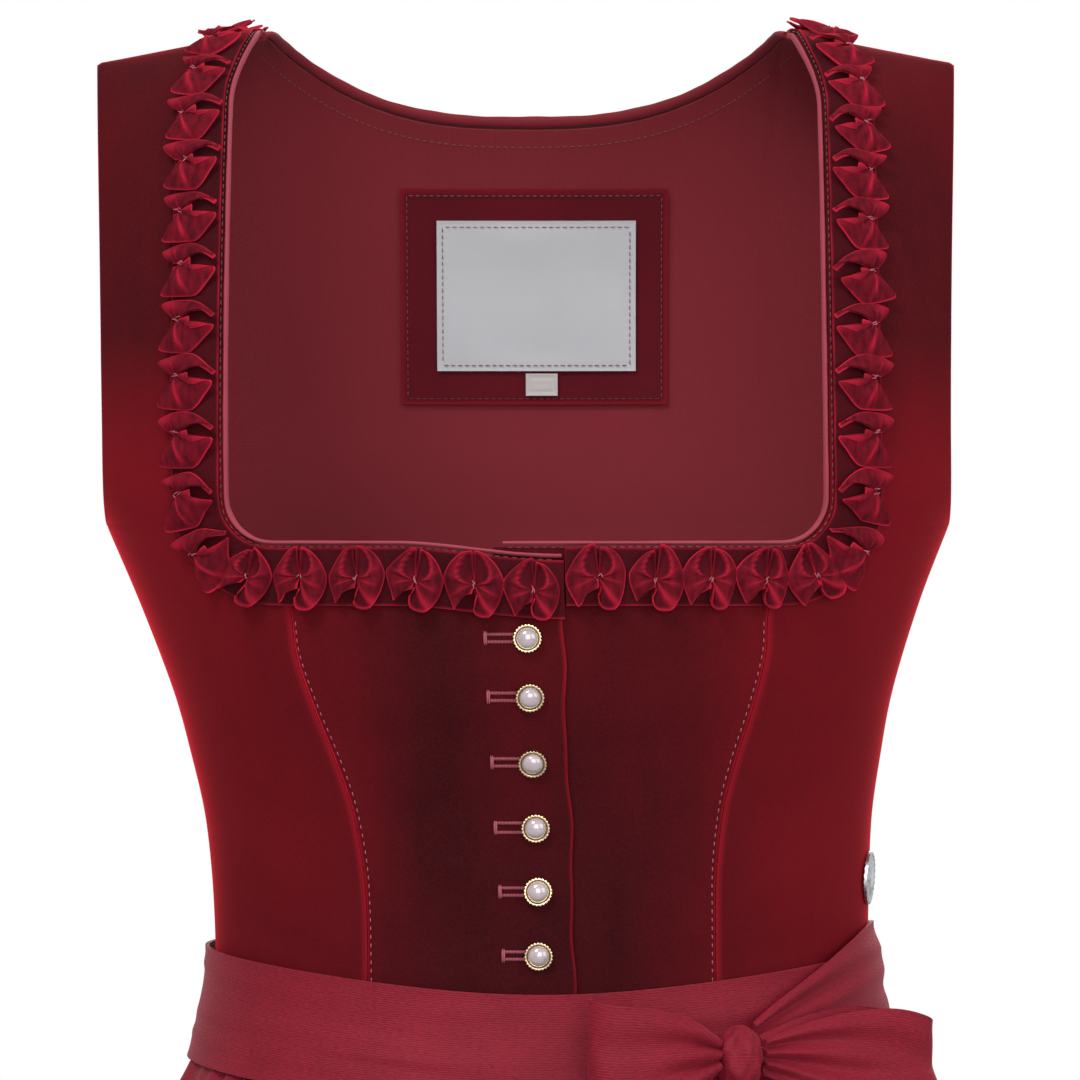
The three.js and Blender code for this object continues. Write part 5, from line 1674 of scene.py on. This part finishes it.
    def tie_end(self) -> None:
        """End of the tie that comes round the wearer's left side down to the knot."""
        w, c = np.meshgrid(np.linspace(0, 1, 46), np.linspace(-1, 1, 31))
        angle = 82 + (KNOT_ANGLE + 4.9 - 82) * w
        drop = float(band_top(np.array(KNOT_ANGLE))) - KNOT_Z - 3
        down = 11 + (drop - 11) * w**1.5 - c * (20.6 - 13.6 * w**2.2)
        ridges = (0.8 * np.sin(c * 7 + 2 * w) + 0.5 * np.sin(c * 13 - w * 3)) * (0.5 + w)
        grid = band_point(angle, down, 1.9 + 5.1 * w**2 + ridges)
        piece = shell("crepe_tie_end", grid, 1.1, self.looks.crepe, grid_normals(grid, True))
        ride(piece, "crepe", "apron_tie_end")
        declare(piece, (0.05, 0.075))

    def build(self) -> None:
        """Makes the apron and its bow."""
        self.cloth()
        self.band("crepe_waistband", -88, 80, "apron_waistband")
        self.band("crepe_tie_back", 80.3, 271.7, "apron_tie_back")
        self.tie_end()
        self.knot()
        self.loop("crepe_loop_right", np.array([-0.955, -0.297, 0]), 2, 55, "bow_loop_right", 0.0)
        self.loop("crepe_loop_left", np.array([0.89, 0.456, 0]), 11.5, 76, "bow_loop_left", 0.42)
        self.tail("crepe_tail_right", 33.4, 27, 330, 3.2, "bow_tail_right")
        self.tail("crepe_tail_left", 36.6, 45, 345, 6.4, "bow_tail_left")


@dataclass
class Fastenings:
    """Buttons with their worked holes, and the side badge."""

    looks: Wardrobe
    heights: tuple[float, ...] = (-221, -241.5, -264.5, -287.5, -310, -332.5)
    button_x: float = -1.0

    @staticmethod
    def frame_at(x: float | None, angle: float | None, z: float) -> tuple[Array, Array]:
        """Foot and outward axis of a fastening.

        Args:
            x: Place across, or None to use the angle.
            angle: Angle in radians, used when x is None.
            z: Height.

        Returns:
            Foot and unit axis, leant as the dress is.
        """
        rise = np.array([z - UNDERARM_Z])
        turn = np.array([angle]) if x is None else Body.angle_at(Body.FRONT, np.array([x]), rise)
        foot = Body.point(Body.FRONT, turn, rise)[0]
        axis = Body.normal(Body.FRONT, turn, rise)[0]
        foot[0] += float(LEAN.at(z, "x"))
        return foot, axis

    @staticmethod
    def seat(piece: bpy.types.Object, foot: Array, axis: Array, spin: float) -> None:
        """Turns a piece that was made along +Z onto its place, and applies that."""
        up = Vector(axis.tolist())
        turn = up.to_track_quat("Z", "Y").to_matrix().to_4x4()
        place = Matrix.Translation(Vector((foot * MM).tolist())) @ turn @ Matrix.Rotation(spin, 4, "Z")
        piece.data.transform(place)
        piece.data.update()

    @staticmethod
    def primitive_disc(name: str, sides: int, radius: float, low: float, high: float) -> bpy.types.Object:
        """Cylinder along +Z, in millimetres, left active and selected."""
        bpy.ops.object.select_all(action="DESELECT")
        bpy.ops.mesh.primitive_cylinder_add(vertices=sides, radius=radius * MM, depth=(high - low) * MM,
                                            location=(0, 0, (high + low) / 2 * MM))
        piece = bpy.context.active_object
        piece.name = name
        bpy.ops.object.transform_apply(location=True, rotation=True, scale=True)
        return piece

    @staticmethod
    def pick_top(piece: bpy.types.Object) -> None:
        """Selects the top face of a disc, in edit mode."""
        bpy.ops.object.mode_set(mode="OBJECT")
        top = max(p.center.z for p in piece.data.polygons)
        for item in (*piece.data.vertices, *piece.data.edges, *piece.data.polygons):
            item.select = False
        for polygon in piece.data.polygons:
            polygon.select = polygon.center.z > top - 1e-6 and polygon.normal.z > 0.9
        bpy.ops.object.mode_set(mode="EDIT")
        bpy.ops.mesh.select_mode(type="FACE")

    def rim(self, name: str) -> bpy.types.Object:
        """Milled gilt rim with a sunk seat for the boss."""
        piece = self.primitive_disc(name, 72, 4.75, 0.4, 2.3)
        self.pick_top(piece)
        bpy.ops.mesh.inset(thickness=0.45 * MM)
        bpy.ops.mesh.inset(thickness=0.55 * MM)
        bpy.ops.transform.translate(value=(0, 0, -0.75 * MM))
        bpy.ops.object.mode_set(mode="OBJECT")
        for vertex in piece.data.vertices:
            radius = math.hypot(vertex.co.x, vertex.co.y) / MM
            if radius > 4.6:
                turn = round(math.atan2(vertex.co.y, vertex.co.x) / (2 * math.pi / 72))
                grow = 1.05 if turn % 3 else 0.955
                vertex.co.x *= grow
                vertex.co.y *= grow
        bevel = piece.modifiers.new("Softened", "BEVEL")
        bevel.width, bevel.segments, bevel.limit_method = 0.12 * MM, 2, "ANGLE"
        bpy.ops.object.modifier_apply(modifier="Softened")
        bpy.ops.object.shade_smooth_by_angle(angle=math.radians(35))
        piece.data.materials.append(self.looks.gilt)
        return piece

    def boss(self, name: str) -> bpy.types.Object:
        """Pearly domed boss."""
        bpy.ops.object.select_all(action="DESELECT")
        bpy.ops.mesh.primitive_uv_sphere_add(segments=40, ring_count=24, radius=1.0)
        piece = bpy.context.active_object
        piece.name = name
        for vertex in piece.data.vertices:
            x, y, z = vertex.co
            vertex.co = (x * 3.55 * MM, y * 3.55 * MM, (1.75 + max(z, -0.12) * 2.25) * MM)
        bpy.ops.object.shade_smooth_by_angle(angle=math.radians(60))
        piece.data.materials.append(self.looks.pearl)
        return piece

    def badge(self) -> None:
        """Thin round badge with a fluted edge and a plain turned centre."""
        piece = self.primitive_disc("silver_badge", 96, 9.6, 0.5, 1.5)
        self.pick_top(piece)
        for inset, lift in ((0.9, 0.35), (0.5, -0.3), (2.6, 0.15), (0.4, 0.3), (2.2, 0.1)):
            bpy.ops.mesh.inset(thickness=inset * MM)
            bpy.ops.transform.translate(value=(0, 0, lift * MM))
        bpy.ops.object.mode_set(mode="OBJECT")
        for vertex in piece.data.vertices:
            radius = math.hypot(vertex.co.x, vertex.co.y) / MM
            turn = math.atan2(vertex.co.y, vertex.co.x)
            if 7.0 < radius:
                vertex.co.z += 0.12 * MM * math.cos(turn * 24)
            if 3.0 < radius < 6.0:
                vertex.co.z += 0.2 * MM * math.cos(turn * 8)
        bpy.ops.object.shade_smooth_by_angle(angle=math.radians(40))
        piece.data.materials.append(self.looks.silver)
        foot, axis = self.frame_at(None, math.radians(80), -309)
        self.seat(piece, foot, axis, 0.0)
        ride(piece, "silver_badge", "side_badge")

    def holes(self, thread: Sewing) -> None:
        """Worked buttonholes that run to the wearer's right of each button."""
        starts = (-15.6, -15.4, -15.2, -15.0, -14.2, -13.4)
        for z, start in zip(self.heights, starts):
            xs = np.arange(start, -5.6, 0.5)
            gap = 1.15 if z == self.heights[3] else 0.8
            up = Body.normal(Body.FRONT, np.zeros(1), np.array([z - UNDERARM_Z]))[0]
            sides = [(x, span, 0.25, 0.24) for x in xs
                     for span in ((-gap - 1.1, -gap + 0.1), (gap - 0.1, gap + 1.1))]
            bars = [(x, (-2.4, 2.4), 0.4, 0.36) for x in (start - 0.3, start + 0.3)]
            for x, span, out, radius in sides + bars:
                rise = np.array(span) + z - UNDERARM_Z
                ends = Body.over(Body.FRONT, np.full(2, x), rise, np.full(2, out))
                thread.stitch(ends[0], ends[1], up, radius)

    def build(self, thread: Sewing) -> None:
        """Makes buttons, holes and badge."""
        for k, z in enumerate(self.heights):
            foot, axis = self.frame_at(self.button_x, None, z)
            axis = axis + np.array([0.05 * math.sin(2.1 * k), 0, 0.09 * math.cos(1.7 * k)])
            axis = axis / np.linalg.norm(axis)
            for piece, slot, node in (
                (self.rim(f"gilt_button_rim_{k + 1}"), "gilt_rim", f"button_rim_{k + 1}"),
                (self.boss(f"pearl_button_boss_{k + 1}"), "pearl_boss", f"button_boss_{k + 1}"),
            ):
                self.seat(piece, foot, axis, 0.4 * k)
                ride(piece, slot, node)
        self.holes(thread)
        self.badge()


@dataclass
class Labels:
    """Velvet patch, bare grey label and bare white tag inside the back."""

    looks: Wardrobe
    turned_in: float = 2.0

    @staticmethod
    def on_back(x: Array, z: Array, out: Any) -> Array:
        """Point inside the back at a place across and a height."""
        share = (z - UNDERARM_Z) / (shoulder_z(x) - UNDERARM_Z)
        dome = Body.DOMES["back"]
        rise = np.interp(share, dome.columns["up"], dome.key)
        return Body.over(Body.BACK, x, rise, np.broadcast_to(out, np.shape(x)))

    def patch(self, name: str, box: tuple[float, float, float, float], out: float, thick: float,
              material: bpy.types.Material, slot: str, node: str, rests: str) -> None:
        """One rectangular piece sewn inside the back."""
        x0, x1, z0, z1 = box
        x, z = np.meshgrid(np.linspace(x0, x1, 50), np.linspace(z0, z1, 40))
        soft = 0.35 * np.sin(x / 9.0 + z / 14) + 0.25 * np.sin(z / 6.0)
        edge = np.minimum.reduce([x - x0, x1 - x, z - z0, z1 - z])
        lift = soft * smooth(edge, 0, 8) - 0.35 * bell(edge - 1.5, 0.8)
        back = self.on_back(x, z, out + thick)
        face = self.on_back(x, z, out - lift * 0.6)
        normals = back - face
        normals = -normals / np.linalg.norm(normals, axis=-1, keepdims=True)
        # Painted highlight on the piece's edges; only the velvet patch's finish shows it.
        piece = shell(name, face, thick, material, normals, 0.25 * bell(edge, 0.6))
        ride(piece, slot, node)
        declare(piece, ((x1 - x0) * MM, (z1 - z0 + self.turned_in) * MM))

    def border(self, thread: Sewing, box: tuple[float, float, float, float], inset: float,
               out: float) -> None:
        """Running stitches just inside the edge of a piece."""
        x0, x1, z0, z1 = box[0] + inset, box[1] - inset, box[2] + inset, box[3] - inset
        corners = ((x0, z0), (x1, z0), (x1, z1), (x0, z1), (x0, z0))
        for (xa, za), (xb, zb) in zip(corners, corners[1:]):
            x, z = np.linspace(xa, xb, 60), np.linspace(za, zb, 60)
            line = self.on_back(x, z, out)
            ups = self.on_back(x, z, out - 1.0) - line
            thread.run(line, ups, 2.6, 1.8, 0.2)

    def build(self, dark: Sewing, pale: Sewing) -> None:
        """Makes the three pieces and their sewing."""
        patch, label = (-48.0, 54.0, -135.0, -53.0), (-34.5, 42.0, -122.0, -64.5)
        tag = (-0.4, 11.8, -131.5, -123.0)
        looks = self.looks
        for name, box, out, thick, finish, slot, node, rests in (
            ("velvet_patch", patch, -4.9, 0.7, looks.patch, "velvet", "label_patch", "lining_back_centre"),
            ("bare_grey_label", label, -6.3, 0.6, looks.label, "grey_label", "label", "label_patch"),
            ("bare_white_tag", tag, -6.3, 0.6, looks.tag, "white_tag", "size_tag", "label_patch"),
        ):
            self.patch(name, box, out, thick, finish, slot, node, rests)
        self.border(dark, patch, 2.2, -5.2)
        self.border(pale, label, 2.2, -6.5)


def seam_sewing(pale: Sewing, dark: Sewing, edge: NeckEdge) -> None:
    """Edge stitching along the front seams, the neck edge and the lining."""
    for side in (-1, 1):
        z = np.linspace(-352, -213, 90)
        x = side * (FRONT_SEAM.at(z, "x") - 1.9)
        line = Body.over(Body.FRONT, x, z - UNDERARM_Z, np.full(90, 0.62))
        ups = Body.normal(Body.FRONT, Body.angle_at(Body.FRONT, x, z - UNDERARM_Z), z - UNDERARM_Z)
        pale.run(line, ups, 3.0, 1.6, 0.2)
    half = edge.length / 2
    for start, end, lapped in ((-half, LAP_X - 1, True), (-8.0, half, False)):
        length = np.linspace(start, end, 500)
        sunk = 0.0 if lapped else lap_sink(length)
        line = edge.beside(length, 0.4, 0.25 - sunk, lapped)
        ups = edge.beside(length, 0.4, 1.25 - sunk, lapped) - line
        dark.run(line, ups, 3.0, 1.9, 0.2)
    length = np.linspace(half - 130, half + 130, 300)
    line = edge.beside(length, 6.5, -3.1)
    ups = edge.beside(length, 6.5, -4.1) - line
    dark.run(line, ups, 2.8, 1.9, 0.2)


@dataclass
class Studio:
    """Pale floor, soft light and the photograph's camera."""

    centre_x: float = 2.9
    eye_z: float = -187.0
    distance: float = 2200.0
    shown: float = 394.0
    aim_z: float = -200.0

    def build(self) -> None:
        """Makes floor, lights, world and camera."""
        material, tree, output = new_material("pale_floor")
        paint = add_node(tree, "ShaderNodeBsdfPrincipled", {"Base Color": colour("a9a8a6"), "Roughness": 0.8})
        tree.links.new(paint.outputs[0], output.inputs[0])
        bpy.ops.object.select_all(action="DESELECT")
        bpy.ops.mesh.primitive_plane_add(size=8.0, location=(0, 0, (SKIRT_HEM_Z - 4) * MM))
        floor = bpy.context.active_object
        floor.name = "floor"
        bpy.ops.object.transform_apply(location=True)
        floor.data.materials.append(material)
        world = bpy.data.worlds.new("studio")
        bpy.context.scene.world = world
        world.use_nodes = True
        backdrop = world.node_tree.nodes["Background"]
        backdrop.inputs[0].default_value = (1.0, 1.0, 1.0, 1.0)
        backdrop.inputs[1].default_value = 1.0
        for name, place, size, power in (
            ("key_light", (-0.9, -1.8, 1.7), 0.9, 66.0),
            ("fill_light", (1.9, -1.6, 0.3), 1.5, 28.0),
            ("front_light", (0.2, -2.7, 0.1), 1.6, 55.0),
            ("top_light", (0.2, 0.3, 1.9), 1.4, 18.0),
            ("back_light", (0.6, 2.6, 0.8), 1.6, 40.0),
        ):
            data = bpy.data.lights.new(name, "AREA")
            data.energy, data.size = power, size
            lamp = bpy.data.objects.new(name, data)
            bpy.context.scene.collection.objects.link(lamp)
            lamp.location = place
            aim = Vector((0, 0, self.aim_z * MM)) - Vector(place)
            lamp.rotation_euler = aim.to_track_quat("-Z", "Y").to_euler()
        lens = bpy.data.cameras.new("camera")
        lens.sensor_width = 36.0
        lens.lens = 36.0 * self.distance / self.shown
        lens.clip_end = 50.0
        camera = bpy.data.objects.new("camera", lens)
        bpy.context.scene.collection.objects.link(camera)
        camera.location = (self.centre_x * MM, -self.distance * MM, self.eye_z * MM)
        camera.rotation_euler = (math.pi / 2, 0, 0)
        bpy.context.scene.camera = camera
        bpy.context.scene.view_settings.view_transform = "Standard"


def main() -> None:
    """Builds the dress in order."""
    logging.basicConfig(level=logging.INFO, format="%(message)s")
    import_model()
    Studio().build()
    looks = Wardrobe()
    edge = NeckEdge()
    pale, dark, rose = Sewing(looks.pale_thread), Sewing(looks.dark_thread), Sewing(looks.rose_thread)
    Bodice(looks, edge).build()
    NeckTrim(looks, edge).build(pale)
    Labels(looks).build(dark, pale)
    Fastenings(looks).build(rose)
    seam_sewing(pale, dark, edge)
    Apron(looks).build()
    Skirt(looks).build()
    pale.build("pale_stitches", "rose")
    dark.build("wine_stitches", "velvet")
    rose.build("buttonhole_stitches", "rose")


if __name__ == "__main__":
    main()
